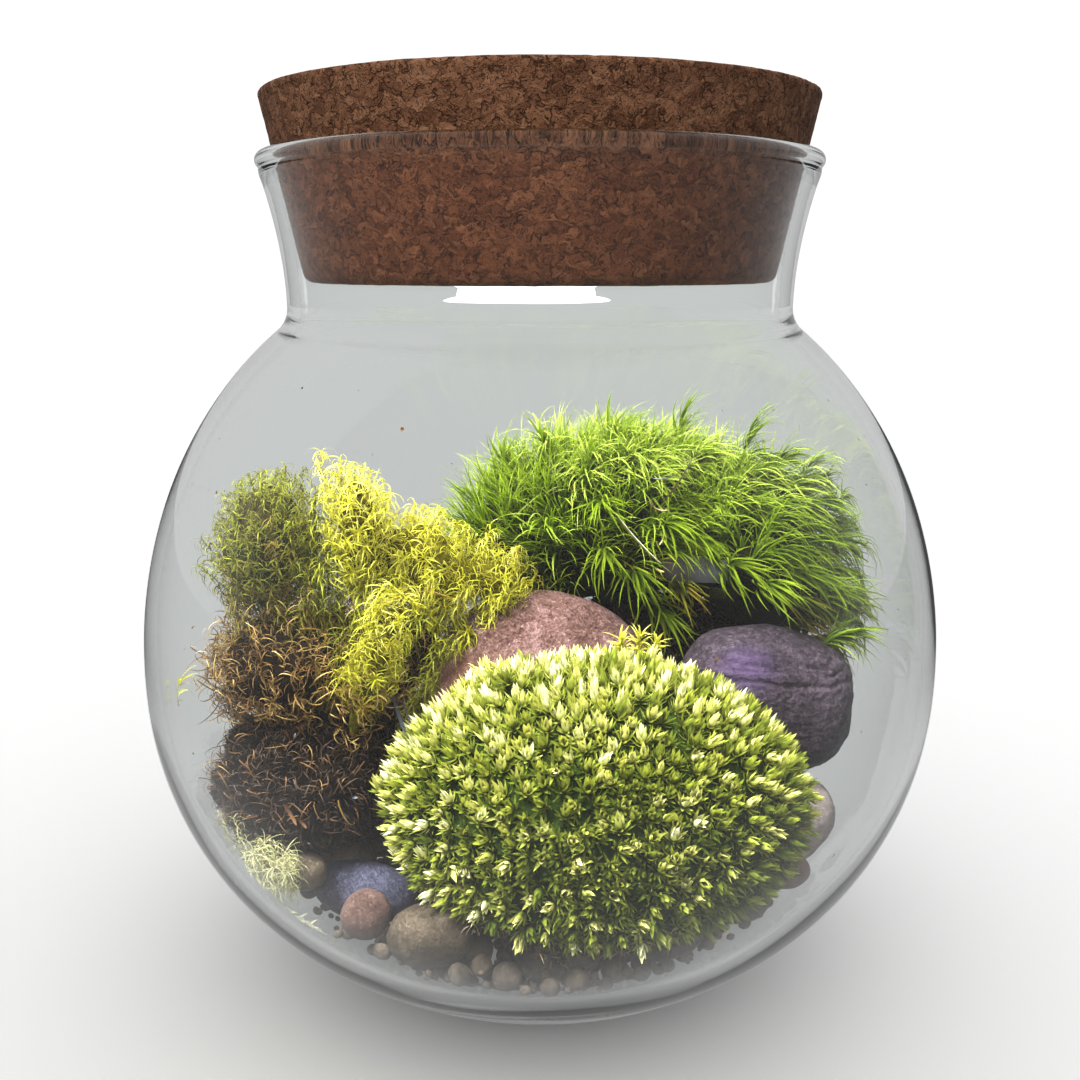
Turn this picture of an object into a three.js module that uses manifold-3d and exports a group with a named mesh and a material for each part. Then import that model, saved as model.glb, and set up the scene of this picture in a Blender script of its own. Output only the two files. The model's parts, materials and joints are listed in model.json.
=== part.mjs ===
// A round glass terrarium: a blown glass jar closed by a tapered cork, with a bed of pebbles, three
// larger stones and three clumps of moss that stand on their own brown, root-bound bases.
// Millimetres, +Z up. The origin is the centre of the standing ring, and the front looks along -Y.
import * as THREE from "three";
import { mergeVertices } from "three/addons/utils/BufferGeometryUtils.js";
import Module from "manifold-3d";

const wasm = await Module();
wasm.setup();

// ---- Driving dimensions ------------------------------------------------------------------------

const SEAT_GAP = 0.35; // between two pieces that rest on each other

// The jar
const JAR_SIDES = 32;
const BOWL_RADIUS = 80; // the widest outside radius
const BOWL_MIDDLE = 65.6; // height of the widest place
const BOWL_RISE = 83.7; // half height of the bowl's curve above the widest place
const BOWL_DROP = 72.5; // and below it
const BOWL_POWER = 2.08; // 2 would be an ellipse
const WALL = 2.6;
const BASE_THICKENING = 6; // how much the wall has gained on the axis
const FLOOR_HEIGHT = 5; // the flat inside floor
const FLOOR_RADIUS = 30;
const FLOOR_CURVE = new THREE.Vector2(7, 1.2); // the first step of the floor's turn into the wall
const WALL_START = 3.8; // height above the floor where the bowl's own curve takes over
const RING_INNER = 26; // the flat standing ring
const RING_OUTER = 33.5;
const PUNT_HEIGHT = 1.2; // the hollow inside the ring
const RING_BEVEL = new THREE.Vector2(3, 0.55); // outside the ring, before the bowl's curve
const BOWL_START = 2;
const NECK_RADIUS = 49.5;
const NECK_BOTTOM = 132.6; // where the neck leaves the bowl, outside
const NECK_BOTTOM_INSIDE = 131.3;
const FLARE_START = 136;
const FLARE_RATE = 0.0135;
const FLARE_POWER = 1.8;
const BEAD_RADIUS = 1.6; // the rolled lip
const BEAD_CENTRE = new THREE.Vector2(52.6, 162.2);

// The cork
const CORK_BOTTOM = 140;
const CORK_TOP = 174.5;
const CORK_TAPER = 0.2145; // gain in radius per mm of height
const CORK_BOTTOM_ROUND = 2;
const CORK_TOP_ROUND = 1.1;

// The front cushion: a dome on a plane that leans back
const CUSHION_CENTRE = new THREE.Vector3(10.7, -27.2, 41.2);
const CUSHION_LEAN = THREE.MathUtils.degToRad(43);
const CUSHION_RADII = new THREE.Vector3(39.6, 29.8, 24);
const CUSHION_UNDERSIDE = 12; // depth of the brown underside
const CUSHION_BELLY = 5; // how far down the pebbles must keep off it
const SHOOT_HEIGHT = 3.6; // of the star shoots on the dome
const SHOOT_ROOM = 1.25; // the tallest shoot, in shoot heights

// The needles of the two leafy mosses
const BLADE_SIDES = 3;
const BLADE_STEPS = 3;
const ROOT_DEPTH = 2.4; // how far a needle starts inside its clump
const LEAF_GAP = 0.9; // between the foliage of two clumps

// ---- Seeded numbers and small helpers ----------------------------------------------------------

// Returns a function that draws numbers from 0 to 1, the same ones for the same seed.
function seeded(seed) {
  let state = seed >>> 0;
  return () => {
    state = (state + 0x6d2b79f5) >>> 0;
    let mixed = Math.imul(state ^ (state >>> 15), state | 1);
    mixed ^= mixed + Math.imul(mixed ^ (mixed >>> 7), mixed | 61);
    return ((mixed ^ (mixed >>> 14)) >>> 0) / 2 ** 32;
  };
}

const between = (draw, low, high) => low + (high - low) * draw();

// A direction drawn evenly over the whole sphere.
function anyDirection(draw) {
  const height = between(draw, -1, 1);
  const turn = between(draw, 0, 2 * Math.PI);
  const across = Math.sqrt(1 - height * height);
  return new THREE.Vector3(across * Math.cos(turn), across * Math.sin(turn), height);
}

// Moves every vertex of a geometry by a rule that gets and changes a Vector3.
function moveVertices(geometry, rule) {
  const place = geometry.attributes.position;
  const point = new THREE.Vector3();
  for (let i = 0; i < place.count; i++) {
    rule(point.fromBufferAttribute(place, i));
    place.setXYZ(i, point.x, point.y, point.z);
  }
  return geometry;
}

function finish(colour, roughness, metalness = 0) {
  return new THREE.MeshStandardMaterial({ color: colour, roughness, metalness });
}

// ---- Joining and cutting -----------------------------------------------------------------------

function toSolid(geometry) {
  const bare = geometry.clone();
  bare.deleteAttribute("normal");
  bare.deleteAttribute("uv");
  const merged = mergeVertices(bare, 1e-3);
  const mesh = new wasm.Mesh({
    numProp: 3,
    vertProperties: new Float32Array(merged.attributes.position.array),
    triVerts: new Uint32Array(merged.index.array),
  });
  return new wasm.Manifold(mesh);
}

function toGeometry(solid) {
  const mesh = solid.getMesh();
  const geometry = new THREE.BufferGeometry();
  geometry.setAttribute("position", new THREE.BufferAttribute(mesh.vertProperties, 3));
  geometry.setIndex(new THREE.BufferAttribute(mesh.triVerts, 1));
  geometry.computeVertexNormals();
  return geometry;
}

const joinAll = (solids) => solids.reduce((whole, solid) => whole.add(solid));
const cutAll = (solid, tools) => tools.reduce((rest, tool) => rest.subtract(tool), solid);

// The largest of a solid's separate bodies, so that a loose crumb of a cut is dropped.
function largestBody(solid) {
  const bodies = solid.decompose();
  return bodies.reduce((best, body) => (body.volume() > best.volume() ? body : best));
}

// ---- The jar and its cork ----------------------------------------------------------------------

// Radius of a bowl curve at a height: an ellipse-like curve, wider at its shoulders.
function bowlRadius(height, radius, rise, drop) {
  const reach = height > BOWL_MIDDLE ? rise : drop;
  const share = Math.min(Math.abs(height - BOWL_MIDDLE) / reach, 1);
  return radius * (1 - share ** BOWL_POWER) ** (1 / BOWL_POWER);
}

const outerRadius = (height) => bowlRadius(height, BOWL_RADIUS, BOWL_RISE, BOWL_DROP);
const innerRadius = (height) =>
  bowlRadius(height, BOWL_RADIUS - WALL, BOWL_RISE - WALL, BOWL_DROP - BASE_THICKENING);

const flareRadius = (height) =>
  NECK_RADIUS + FLARE_RATE * Math.max(0, height - FLARE_START) ** FLARE_POWER;

// Heights spread along the bowl's curve, closer together where it turns inwards.
function bowlHeights(low, high, count) {
  const start = -Math.asin((BOWL_MIDDLE - low) / BOWL_DROP);
  const end = Math.asin((high - BOWL_MIDDLE) / BOWL_RISE);
  return Array.from({ length: count }, (_, i) => {
    const turn = start + ((end - start) * i) / (count - 1);
    return BOWL_MIDDLE + Math.sin(turn) * (turn < 0 ? BOWL_DROP : BOWL_RISE);
  });
}

// Turns a profile of (radius, height) points, from axis to axis, about the Z axis.
function turned(points) {
  return new THREE.LatheGeometry(points, JAR_SIDES).rotateX(Math.PI / 2);
}

const outerPoint = (z) => new THREE.Vector2(outerRadius(z), z);
const neckPoint = (z) => new THREE.Vector2(flareRadius(z), z);
const neckInsidePoint = (z) => new THREE.Vector2(flareRadius(z) - WALL, z);

// The inside of the bowl from the floor up to the neck, drawn in by a clearance.
function insideProfile(clearance) {
  const floor = FLOOR_HEIGHT + clearance;
  const wall = bowlHeights(FLOOR_HEIGHT + WALL_START, NECK_BOTTOM_INSIDE, 10).map(
    (z) => new THREE.Vector2(innerRadius(z) - clearance, z),
  );
  return [
    new THREE.Vector2(0, floor),
    new THREE.Vector2(FLOOR_RADIUS, floor),
    new THREE.Vector2(FLOOR_RADIUS, floor).add(FLOOR_CURVE),
    ...wall,
  ];
}

function jarGeometry() {
  const foot = [
    new THREE.Vector2(0, PUNT_HEIGHT),
    new THREE.Vector2(0.75 * RING_INNER, 0.85 * PUNT_HEIGHT),
    new THREE.Vector2(RING_INNER, 0),
    new THREE.Vector2(RING_OUTER, 0),
    new THREE.Vector2(RING_OUTER, 0).add(RING_BEVEL),
  ];
  const bowl = bowlHeights(BOWL_START, NECK_BOTTOM, 12).map(outerPoint);
  const flareTop = BEAD_CENTRE.y - BEAD_RADIUS - 1;
  const flareHeights = [0.04, 0.4, 0.72, 1].map((share) => FLARE_START + share * (flareTop - FLARE_START));
  const bead = [-50, 0, 45, 90, 135, 180].map((degrees) => {
    const turn = THREE.MathUtils.degToRad(degrees);
    const out = new THREE.Vector2(Math.cos(turn), Math.sin(turn));
    return out.multiplyScalar(BEAD_RADIUS).add(BEAD_CENTRE);
  });
  const insideHeights = [flareTop - 1.5, FLARE_START + 12, FLARE_START];
  return turned([
    ...foot,
    ...bowl,
    ...flareHeights.map(neckPoint),
    ...bead,
    ...insideHeights.map(neckInsidePoint),
    ...insideProfile(0).reverse(),
  ]);
}

function corkGeometry() {
  const lipRadius = BEAD_CENTRE.x - BEAD_RADIUS - SEAT_GAP;
  const radiusAt = (z) => lipRadius + CORK_TAPER * (z - BEAD_CENTRE.y);
  const sidePoint = (z, inset = 0) => new THREE.Vector2(radiusAt(z) - inset, z);
  return turned([
    new THREE.Vector2(0, CORK_BOTTOM),
    sidePoint(CORK_BOTTOM, CORK_BOTTOM_ROUND),
    sidePoint(CORK_BOTTOM + 0.3 * CORK_BOTTOM_ROUND, 0.3 * CORK_BOTTOM_ROUND),
    sidePoint(CORK_BOTTOM + CORK_BOTTOM_ROUND),
    sidePoint(CORK_TOP - CORK_TOP_ROUND),
    sidePoint(CORK_TOP, CORK_TOP_ROUND),
    new THREE.Vector2(0, CORK_TOP),
  ]);
}

// The air space that the jar's contents may fill, with the seat gap kept to the glass.
const cavity = toSolid(turned([...insideProfile(SEAT_GAP), new THREE.Vector2(0, NECK_BOTTOM_INSIDE)]));

// The inside radius between the middles of the jar's flat sides, at a height above the floor.
const INSIDE = insideProfile(0);
function flatInsideRadius(height) {
  const above = INSIDE.findIndex((point) => point.y > height);
  if (above < 1) return 0;
  const [low, high] = [INSIDE[above - 1], INSIDE[above]];
  const share = (height - low.y) / (high.y - low.y);
  return (low.x + share * (high.x - low.x)) * Math.cos(Math.PI / JAR_SIDES);
}

// True where a point lies inside the glass with a margin to spare.
const insideGlass = (point, margin) =>
  point.z > FLOOR_HEIGHT + margin && Math.hypot(point.x, point.y) + margin < flatInsideRadius(point.z);

// ---- Rounded bodies: stones, pebbles and the lumps that moss grows on --------------------------

const FAR = 6; // beyond this, how far away a body lies no longer matters
const CORNER_SWELL = 1.15; // how much farther than its radii a squared body's corners reach

// A rounded body is a ball drawn out to three radii, squared by a power (2 is an ellipsoid) and
// dented by slow waves. Its underside may be shallower than its top. It knows how far its surface
// lies from its centre in each direction.
class Rounded {
  constructor({ at, radii, below = radii[2], power = 2, waves = 0, turn = [0, 0, 0], ...rest }) {
    const { seed = 1, detail = 1 } = rest;
    const draw = seeded(seed);
    this.position = new THREE.Vector3(...at);
    this.radii = new THREE.Vector3(...radii);
    this.below = below;
    this.rotation = new THREE.Euler(...turn.map(THREE.MathUtils.degToRad));
    this.power = power;
    this.waves = waves;
    this.phases = [0, 1, 2].map(() => between(draw, 0, 2 * Math.PI));
    this.detail = detail;
    this.reach = Math.max(...radii) * (1 + waves) * CORNER_SWELL;
  }

  // The surface point in a direction of the unit ball, in the body's own frame.
  surface(direction, grow = 0) {
    const { x, y, z } = direction;
    const p = this.power;
    const square = (Math.abs(x) ** p + Math.abs(y) ** p + Math.abs(z) ** p) ** (-1 / p);
    const [a, b, c] = this.phases;
    const slow = Math.sin(2.6 * x + 1.7 * y + a);
    const middling = Math.sin(2.9 * y - 1.9 * z + b);
    const quick = Math.sin(3.3 * z + x + c);
    const swell = square * (1 + (this.waves * (slow + middling + quick)) / 3);
    return new THREE.Vector3(
      x * (this.radii.x + grow) * swell,
      y * (this.radii.y + grow) * swell,
      z * ((z < 0 ? this.below : this.radii.z) + grow) * swell,
    );
  }

  geometry(grow = 0) {
    const ball = new THREE.IcosahedronGeometry(1, this.detail);
    return moveVertices(ball, (point) => point.copy(this.surface(point.clone().normalize(), grow)));
  }

  matrix() {
    const turn = new THREE.Quaternion().setFromEuler(this.rotation);
    return new THREE.Matrix4().compose(this.position, turn, new THREE.Vector3(1, 1, 1));
  }

  solid(grow = 0) {
    return toSolid(this.geometry(grow).applyMatrix4(this.matrix()));
  }

  // How far a point in the part's frame lies outside this body, negative inside it.
  clearance(point) {
    if (point.distanceTo(this.position) > this.reach + FAR) return FAR;
    const own = point.clone().applyMatrix4(this.matrix().invert());
    const direction = own.clone().divide(this.radii);
    if (own.z < 0) direction.z = own.z / this.below;
    return own.length() - this.surface(direction.normalize()).length();
  }

  mesh(name, material) {
    const mesh = new THREE.Mesh(this.geometry(), material);
    mesh.name = name;
    mesh.position.copy(this.position);
    mesh.rotation.copy(this.rotation);
    return mesh;
  }
}

// The three larger stones, where they lean among the moss.
const pinkStone = new Rounded({
  at: [0.5, 4, 49],
  radii: [26.5, 12, 25.5],
  power: 2.2,
  waves: 0.03,
  turn: [-24, 9, 4],
  seed: 11,
  detail: 3,
});
const purpleStone = new Rounded({
  at: [48.5, 2, 52],
  radii: [19.5, 12.5, 14.5],
  power: 3,
  waves: 0.05,
  turn: [8, 5, -6],
  seed: 23,
  detail: 3,
});
const wedgeStone = new Rounded({
  at: [51.5, -11.5, 28],
  radii: [12, 10.5, 7.5],
  power: 2.6,
  waves: 0.08,
  turn: [6, -30, 20],
  seed: 37,
  detail: 2,
});
const STONES = [
  { name: "stone_pink", body: pinkStone, material: finish(0x9c6f66, 0.7) },
  { name: "stone_purple", body: purpleStone, material: finish(0x6a5a68, 0.85) },
  { name: "stone_wedge", body: wedgeStone, material: finish(0x6b5b50, 0.85) },
];

// The front cushion as one plain body round its shoots, with only a little of its underside, for
// the pebbles and the other clumps to stay clear of.
const cushionShape = (below) =>
  new Rounded({
    at: CUSHION_CENTRE.toArray(),
    radii: CUSHION_RADII.clone().addScalar(SHOOT_ROOM * SHOOT_HEIGHT).toArray(),
    below,
    turn: [THREE.MathUtils.radToDeg(CUSHION_LEAN), 0, 0],
    detail: 3,
  });
const cushionBody = cushionShape(CUSHION_BELLY);

// ---- The pebble bed ----------------------------------------------------------------------------

// The bed's four kinds of stone.
const PEBBLE_COLOURS = { tan: 0x8a7460, red: 0x8c5f55, grey: 0x55566a, dark: 0x4d4238 };

// Pebbles that show through the front of the bowl: place on the floor plan, radii, turn and kind.
const SHOWN_PEBBLES = [
  { x: -20.5, y: -43, radii: [8.6, 6.2, 6.6], turn: [12, 14, 10], kind: "tan" },
  { x: -33.5, y: -36.5, radii: [5.2, 4.8, 5.2], turn: [0, 20, 40], kind: "red" },
  { x: -35.5, y: -24.5, radii: [11.5, 6.8, 7], turn: [10, 20, 8], kind: "grey" },
  { x: 3, y: -41, radii: [9, 6.5, 5.6], turn: [24, 0, 8], kind: "dark" },
  { x: 22, y: -38, radii: [10.5, 7, 5.8], turn: [24, -6, -14], kind: "dark" },
  { x: 38, y: -31, radii: [8.4, 6.4, 5.6], turn: [18, -14, -38], kind: "dark" },
  { x: -45.5, y: -32, radii: [4.8, 4.4, 4], turn: [8, 24, 55], kind: "tan" },
  { x: 49, y: -30, radii: [4.6, 4.2, 3.8], turn: [0, -20, -30], kind: "red" },
  { x: -43, y: -10.5, radii: [8.4, 6.6, 5.6], turn: [4, 12, 50], kind: "tan" },
];
const HIDDEN_KINDS = ["dark", "tan", "grey", "red", "dark", "tan"];
const HIDDEN_PEBBLES = 18;
const TRIES_PER_PEBBLE = 40;
const BED_RADIUS = 53; // pebble centres stay inside this circle
const PEBBLE_GAP = 0.3;

// The separate corner points of a body's faces, in its own frame.
function pointsOf(body) {
  const bare = body.geometry().deleteAttribute("uv").deleteAttribute("normal");
  const place = mergeVertices(bare, 1e-3).attributes.position;
  return Array.from({ length: place.count }, (_, i) => new THREE.Vector3().fromBufferAttribute(place, i));
}

function cornersInPlace(body, points) {
  const matrix = body.matrix();
  return points.map((point) => point.clone().applyMatrix4(matrix));
}

// True where a body touches neither the glass nor one of the bodies already placed.
function isFree(body, points, placed) {
  const own = cornersInPlace(body, points);
  if (!own.every((point) => insideGlass(point, PEBBLE_GAP))) return false;
  return placed.every(({ body: other, corners }) => {
    if (other.position.distanceTo(body.position) > other.reach + body.reach) return true;
    if (own.some((point) => other.clearance(point) < PEBBLE_GAP)) return false;
    return corners.every((point) => body.clearance(point) > PEBBLE_GAP);
  });
}

// Lowers a body from the height where it is let go until it would touch, and returns its height,
// or nothing where it touches at the start.
function dropHeight(body, points, placed, start) {
  body.position.z = start;
  if (!isFree(body, points, placed)) return null;
  for (const step of [2, 0.5, 0.1]) {
    while (isFree(body, points, placed)) body.position.z -= step;
    body.position.z += step;
  }
  return body.position.z;
}

// The cushion lies on the bed, so no pebble reaches through its felt into the dome.
const keepsOffCushion = (body, points) =>
  cornersInPlace(body, points).every((point) => cushionBody.clearance(point) > PEBBLE_GAP);

function pebbleBed() {
  const draw = seeded(4127);
  const placed = STONES.map(({ body }) => ({ body, corners: cornersInPlace(body, pointsOf(body)) }));
  const pebbles = [];
  const keep = (body, points, kind) => {
    placed.push({ body, corners: cornersInPlace(body, points) });
    pebbles.push({ body, colour: PEBBLE_COLOURS[kind] });
  };
  SHOWN_PEBBLES.forEach(({ x, y, radii, turn, kind }, index) => {
    const body = new Rounded({ at: [x, y, 0], radii, power: 2.25, waves: 0.06, turn, seed: 300 + index });
    const points = pointsOf(body);
    for (let start = 40; start > 10; start -= 2) {
      if (dropHeight(body, points, placed, start) !== null) break;
    }
    keep(body, points, kind);
  });
  for (let index = 0; index < HIDDEN_PEBBLES; index++) {
    const radii = [between(draw, 7.6, 11.5), between(draw, 6.2, 8.4), between(draw, 4.8, 6.6)];
    const turn = [between(draw, -14, 14), between(draw, -14, 14), between(draw, 0, 180)];
    const body = new Rounded({ at: [0, 0, 0], radii, power: 2.2, waves: 0.07, turn, seed: 500 + index });
    const points = pointsOf(body);
    let best = null;
    for (let attempt = 0; attempt < TRIES_PER_PEBBLE; attempt++) {
      const reach = BED_RADIUS * Math.sqrt(draw());
      const heading = between(draw, 0, 2 * Math.PI);
      body.position.set(reach * Math.cos(heading), reach * Math.sin(heading), 0);
      const height = dropHeight(body, points, placed, 26);
      if (height === null || !keepsOffCushion(body, points)) continue;
      if (!best || height < best.z) best = body.position.clone();
    }
    if (!best) continue;
    body.position.copy(best);
    keep(body, points, HIDDEN_KINDS[index % HIDDEN_KINDS.length]);
  }
  return pebbles;
}

// ---- Moss --------------------------------------------------------------------------------------

// Everything that a spike or needle has to stay clear of: rounded bodies, and round marks along the
// spikes and needles of other nodes.
const obstacles = [];
const marks = [];

// True where a ball in one node's foliage lies in the jar and clear of every other node.
function hasRoom(node, point, radius) {
  if (!insideGlass(point, radius + PEBBLE_GAP)) return false;
  if (obstacles.some((o) => o.node !== node && o.body.clearance(point) < radius + LEAF_GAP)) return false;
  return marks.every((m) => m.node === node || m.point.distanceTo(point) > m.radius + radius + LEAF_GAP);
}

// One needle: a slim three-sided cone that leaves its root along a direction and turns steadily
// towards another, by the angle given as curl.
function needlePath({ root, along, towards, length, curl }) {
  const side = towards.clone().addScaledVector(along, -towards.dot(along)).normalize();
  return {
    side,
    at: (t) => {
      const turn = curl * t;
      const reach = length / curl;
      return root
        .clone()
        .addScaledVector(along, reach * Math.sin(turn))
        .addScaledVector(side, reach * (1 - Math.cos(turn)));
    },
  };
}

function needleGeometry(needle, path) {
  const { along, length, curl, radius } = needle;
  const across = new THREE.Vector3().crossVectors(path.side, along);
  const cone = new THREE.ConeGeometry(radius, length, BLADE_SIDES, BLADE_STEPS);
  return moveVertices(cone, (point) => {
    const t = point.y / length + 0.5;
    const { x, z } = point;
    const inPlane = path.side
      .clone()
      .multiplyScalar(Math.cos(curl * t))
      .addScaledVector(along, -Math.sin(curl * t));
    point.copy(path.at(t)).addScaledVector(inPlane, x).addScaledVector(across, z);
  });
}

// Grows needles out of the lobes of a clump, spaced apart, and returns their solids. The style
// says for a root and the direction away from the lobe how the needle leaves and bends.
function growNeedles({ node, lobes, count, spacing, seed, style }) {
  const draw = seeded(seed);
  const roots = [];
  const solids = [];
  for (let attempt = 0; attempt < count * 60 && solids.length < count; attempt++) {
    const lobe = lobes[Math.floor(draw() * lobes.length)];
    const direction = anyDirection(draw);
    const own = lobe.surface(direction);
    const surface = own.clone().applyMatrix4(lobe.matrix());
    if (lobes.some((other) => other !== lobe && other.clearance(surface) < 1)) continue;
    if (roots.some((root) => root.distanceTo(surface) < spacing)) continue;
    const away = own.divide(lobe.radii).divide(lobe.radii).normalize().applyEuler(lobe.rotation);
    const needle = style(surface, away, draw);
    if (!needle) continue;
    needle.root = surface.clone().addScaledVector(needle.along, -ROOT_DEPTH);
    needle.length += ROOT_DEPTH;
    const path = needlePath(needle);
    const shares = [0.15, 0.3, 0.45, 0.6, 0.8, 1];
    const beads = shares.map((t) => ({ node, point: path.at(t), radius: needle.radius }));
    if (!beads.every(({ point, radius }) => hasRoom(node, point, radius))) continue;
    roots.push(surface);
    solids.push(toSolid(needleGeometry(needle, path)));
    marks.push(...beads);
  }
  return solids;
}

// Raises a spike on each face of a geometry. The rule gets the face's middle and the direction away
// from it, and returns the spike's tip, or nothing where the face stays flat.
function raiseSpikes(geometry, tipOf) {
  const flat = geometry.index ? geometry.toNonIndexed() : geometry;
  const place = flat.attributes.position;
  const corners = [];
  for (let i = 0; i < place.count; i += 3) {
    const [a, b, c] = [0, 1, 2].map((k) => new THREE.Vector3().fromBufferAttribute(place, i + k));
    const middle = a.clone().add(b).add(c).divideScalar(3);
    const away = b.clone().sub(a).cross(c.clone().sub(a)).normalize();
    const tip = tipOf(middle, away);
    if (tip) corners.push(a, b, tip, b, c, tip, c, a, tip);
    else corners.push(a, b, c);
  }
  return new THREE.BufferGeometry().setFromPoints(corners);
}

// A tip that stands off a face by a height, leaning a little to one side.
const leaningTip = (middle, away, height, lean, draw) =>
  middle.clone().addScaledVector(away.clone().addScaledVector(anyDirection(draw), lean).normalize(), height);

// The front cushion: a dome packed with star shoots, and the brown felt under it.
const cushionFrame = new THREE.Matrix4()
  .makeTranslation(CUSHION_CENTRE)
  .multiply(new THREE.Matrix4().makeRotationX(CUSHION_LEAN));

function cushionDome() {
  const draw = seeded(71);
  const ball = moveVertices(new THREE.IcosahedronGeometry(1, 6), (point) =>
    point.multiply(CUSHION_RADII),
  );
  const shoots = raiseSpikes(ball, (middle, away) =>
    middle.z > -5 ? leaningTip(middle, away, between(draw, 0.8, 1.2) * SHOOT_HEIGHT, 0.18, draw) : null,
  );
  const below = new THREE.BoxGeometry(120, 120, 60).translate(0, 0, -30 + SEAT_GAP);
  return toSolid(shoots.applyMatrix4(cushionFrame)).subtract(toSolid(below.applyMatrix4(cushionFrame)));
}

function cushionUnderside(tools) {
  const draw = seeded(72);
  const felt = moveVertices(new THREE.IcosahedronGeometry(1, 3), (point) =>
    point.multiply(new THREE.Vector3(CUSHION_RADII.x + 0.5, CUSHION_RADII.y + 0.5, CUSHION_UNDERSIDE)),
  );
  const fibres = raiseSpikes(felt, (middle, away) =>
    middle.z < 0 ? leaningTip(middle, away, between(draw, 0.4, 1.6), 0.2, draw) : null,
  );
  const above = new THREE.BoxGeometry(120, 120, 60).translate(0, 0, 30);
  const half = toSolid(fibres.applyMatrix4(cushionFrame)).subtract(toSolid(above.applyMatrix4(cushionFrame)));
  return largestBody(cutAll(half.intersect(cavity), tools));
}

const lump = (at, radii, seed, detail = 2, turn = [0, 0, 0]) =>
  new Rounded({ at, radii, seed, detail, turn, waves: 0.12, power: 2.1 });

// The other clumps, each a few lumps grown together.
const BACK_BASE = [lump([27, 35, 42], [36, 22, 26], 1), lump([32, 14, 31], [25, 14, 12], 2, 1)];
const BACK_GREEN = [lump([20, 36, 80], [36, 18, 22], 3, 3), lump([49, 27, 75], [17, 18, 20], 4)];
const LEFT_PEAT = [lump([-49, -6, 37], [19, 26, 17], 5), lump([-42, 18, 35], [19, 19, 16], 6, 1)];
const LEFT_BROWN = [lump([-54, -4, 62], [15, 21, 13], 7), lump([-34, 10, 60], [18, 13, 13], 8, 1)];
const LEFT_OLIVE = [lump([-57, 2, 86], [10, 16, 15], 9)];
const LEFT_YELLOW = [
  lump([-38, 0, 90], [6.5, 9, 12], 10),
  lump([-25, 7, 79], [10, 9, 12], 12),
  lump([-10, 11, 75], [8.5, 8, 8.5], 13, 1),
];
const LEFT_SPRIG = [lump([-33.2, -19.5, 63.5], [3.8, 4.2, 18], 14, 1, [8, 20, 0])];
const PALE_TUFT = [lump([-50.5, -36, 32], [6.5, 4.6, 4], 15, 1, [0, 20, 40])];

// Long grass-like needles, swept to the right on the right-hand side.
function grassStyle(surface, away, draw) {
  if (away.z < -0.25 || surface.z < 62) return null;
  const sweep = THREE.MathUtils.smoothstep(surface.x, 20, 60);
  const along = away.clone().addScaledVector(new THREE.Vector3(0.3 + sweep, -0.1, 0.5), 0.6);
  along.addScaledVector(anyDirection(draw), 0.3).normalize();
  const towards = new THREE.Vector3(0.5 + sweep, -0.3, -0.9 + 0.5 * draw());
  return { along, towards, length: between(draw, 8.5, 12), curl: between(draw, 0.4, 1.1), radius: 0.95 };
}

// Short hooked needles that curl over at the tip.
function hookStyle(length, tight) {
  return (surface, away, draw) => {
    if (away.z < -0.75) return null;
    const along = away.clone().addScaledVector(anyDirection(draw), 0.45);
    along.addScaledVector(new THREE.Vector3(0, 0, 1), 0.35).normalize();
    const towards = anyDirection(draw).add(new THREE.Vector3(0.3, -0.5, -0.7)).normalize();
    return {
      along,
      towards,
      length: length * between(draw, 0.75, 1.2),
      curl: tight * between(draw, 0.7, 1.2),
      radius: 0.8,
    };
  };
}

// ---- The clumps, each cut clear of those before it ----------------------------------------------

const CLUMPS = [
  { name: "back_moss_base", lobes: BACK_BASE, colour: 0x2e2318 },
  { name: "left_moss_peat", lobes: LEFT_PEAT, colour: 0x241b15 },
  {
    name: "left_moss_brown", lobes: LEFT_BROWN, colour: 0x5d4526, spikes: 3,
    needles: { count: 7, spacing: 8, seed: 81, style: hookStyle(6, 2.2) },
  },
  {
    name: "back_moss_green", lobes: BACK_GREEN, colour: 0x5f9224, spikes: 5.5,
    needles: { count: 52, spacing: 7, seed: 82, style: grassStyle },
  },
  {
    name: "left_moss_olive", lobes: LEFT_OLIVE, colour: 0x7d8228, spikes: 3.4,
    needles: { count: 9, spacing: 7, seed: 83, style: hookStyle(7, 2) },
  },
  {
    name: "left_moss_yellow", lobes: LEFT_YELLOW, colour: 0xb9c53a, spikes: 3.2,
    needles: { count: 16, spacing: 6.5, seed: 84, style: hookStyle(7, 2.2) },
  },
  {
    name: "left_moss_sprig", lobes: LEFT_SPRIG, colour: 0xc3d044, spikes: 2.2,
    needles: { count: 5, spacing: 5, seed: 85, style: hookStyle(5, 2.2) },
  },
  {
    name: "pale_moss_tuft", lobes: PALE_TUFT, colour: 0xb4bb7c, spikes: 2.2,
    needles: { count: 5, spacing: 4, seed: 86, style: hookStyle(6, 1.6) },
  },
];

// A lobe with a spike on each outer face, where the spike stays in the jar and clear of other nodes.
function spikyLobe(node, lobe, lobes, height, draw) {
  const faces = lobe.geometry().applyMatrix4(lobe.matrix());
  const spikes = raiseSpikes(faces, (middle, away) => {
    const tip = leaningTip(middle, away, height * between(draw, 0.6, 1.3), 0.4, draw);
    const beads = [0.3, 0.65, 1].map((share) => ({
      node,
      point: middle.clone().lerp(tip, share),
      radius: (1 - share) * 0.6 * height,
    }));
    const buried = lobes.some((other) => other !== lobe && other.clearance(middle) < 0.5 * height);
    if (buried) return null;
    if (!beads.every(({ point, radius }) => hasRoom(node, point, radius))) return null;
    marks.push(...beads);
    return tip;
  });
  return toSolid(spikes);
}

function addSolid(group, name, solid, colour) {
  const mesh = new THREE.Mesh(toGeometry(solid), finish(colour, 0.9));
  mesh.name = name;
  group.add(mesh);
}

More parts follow.
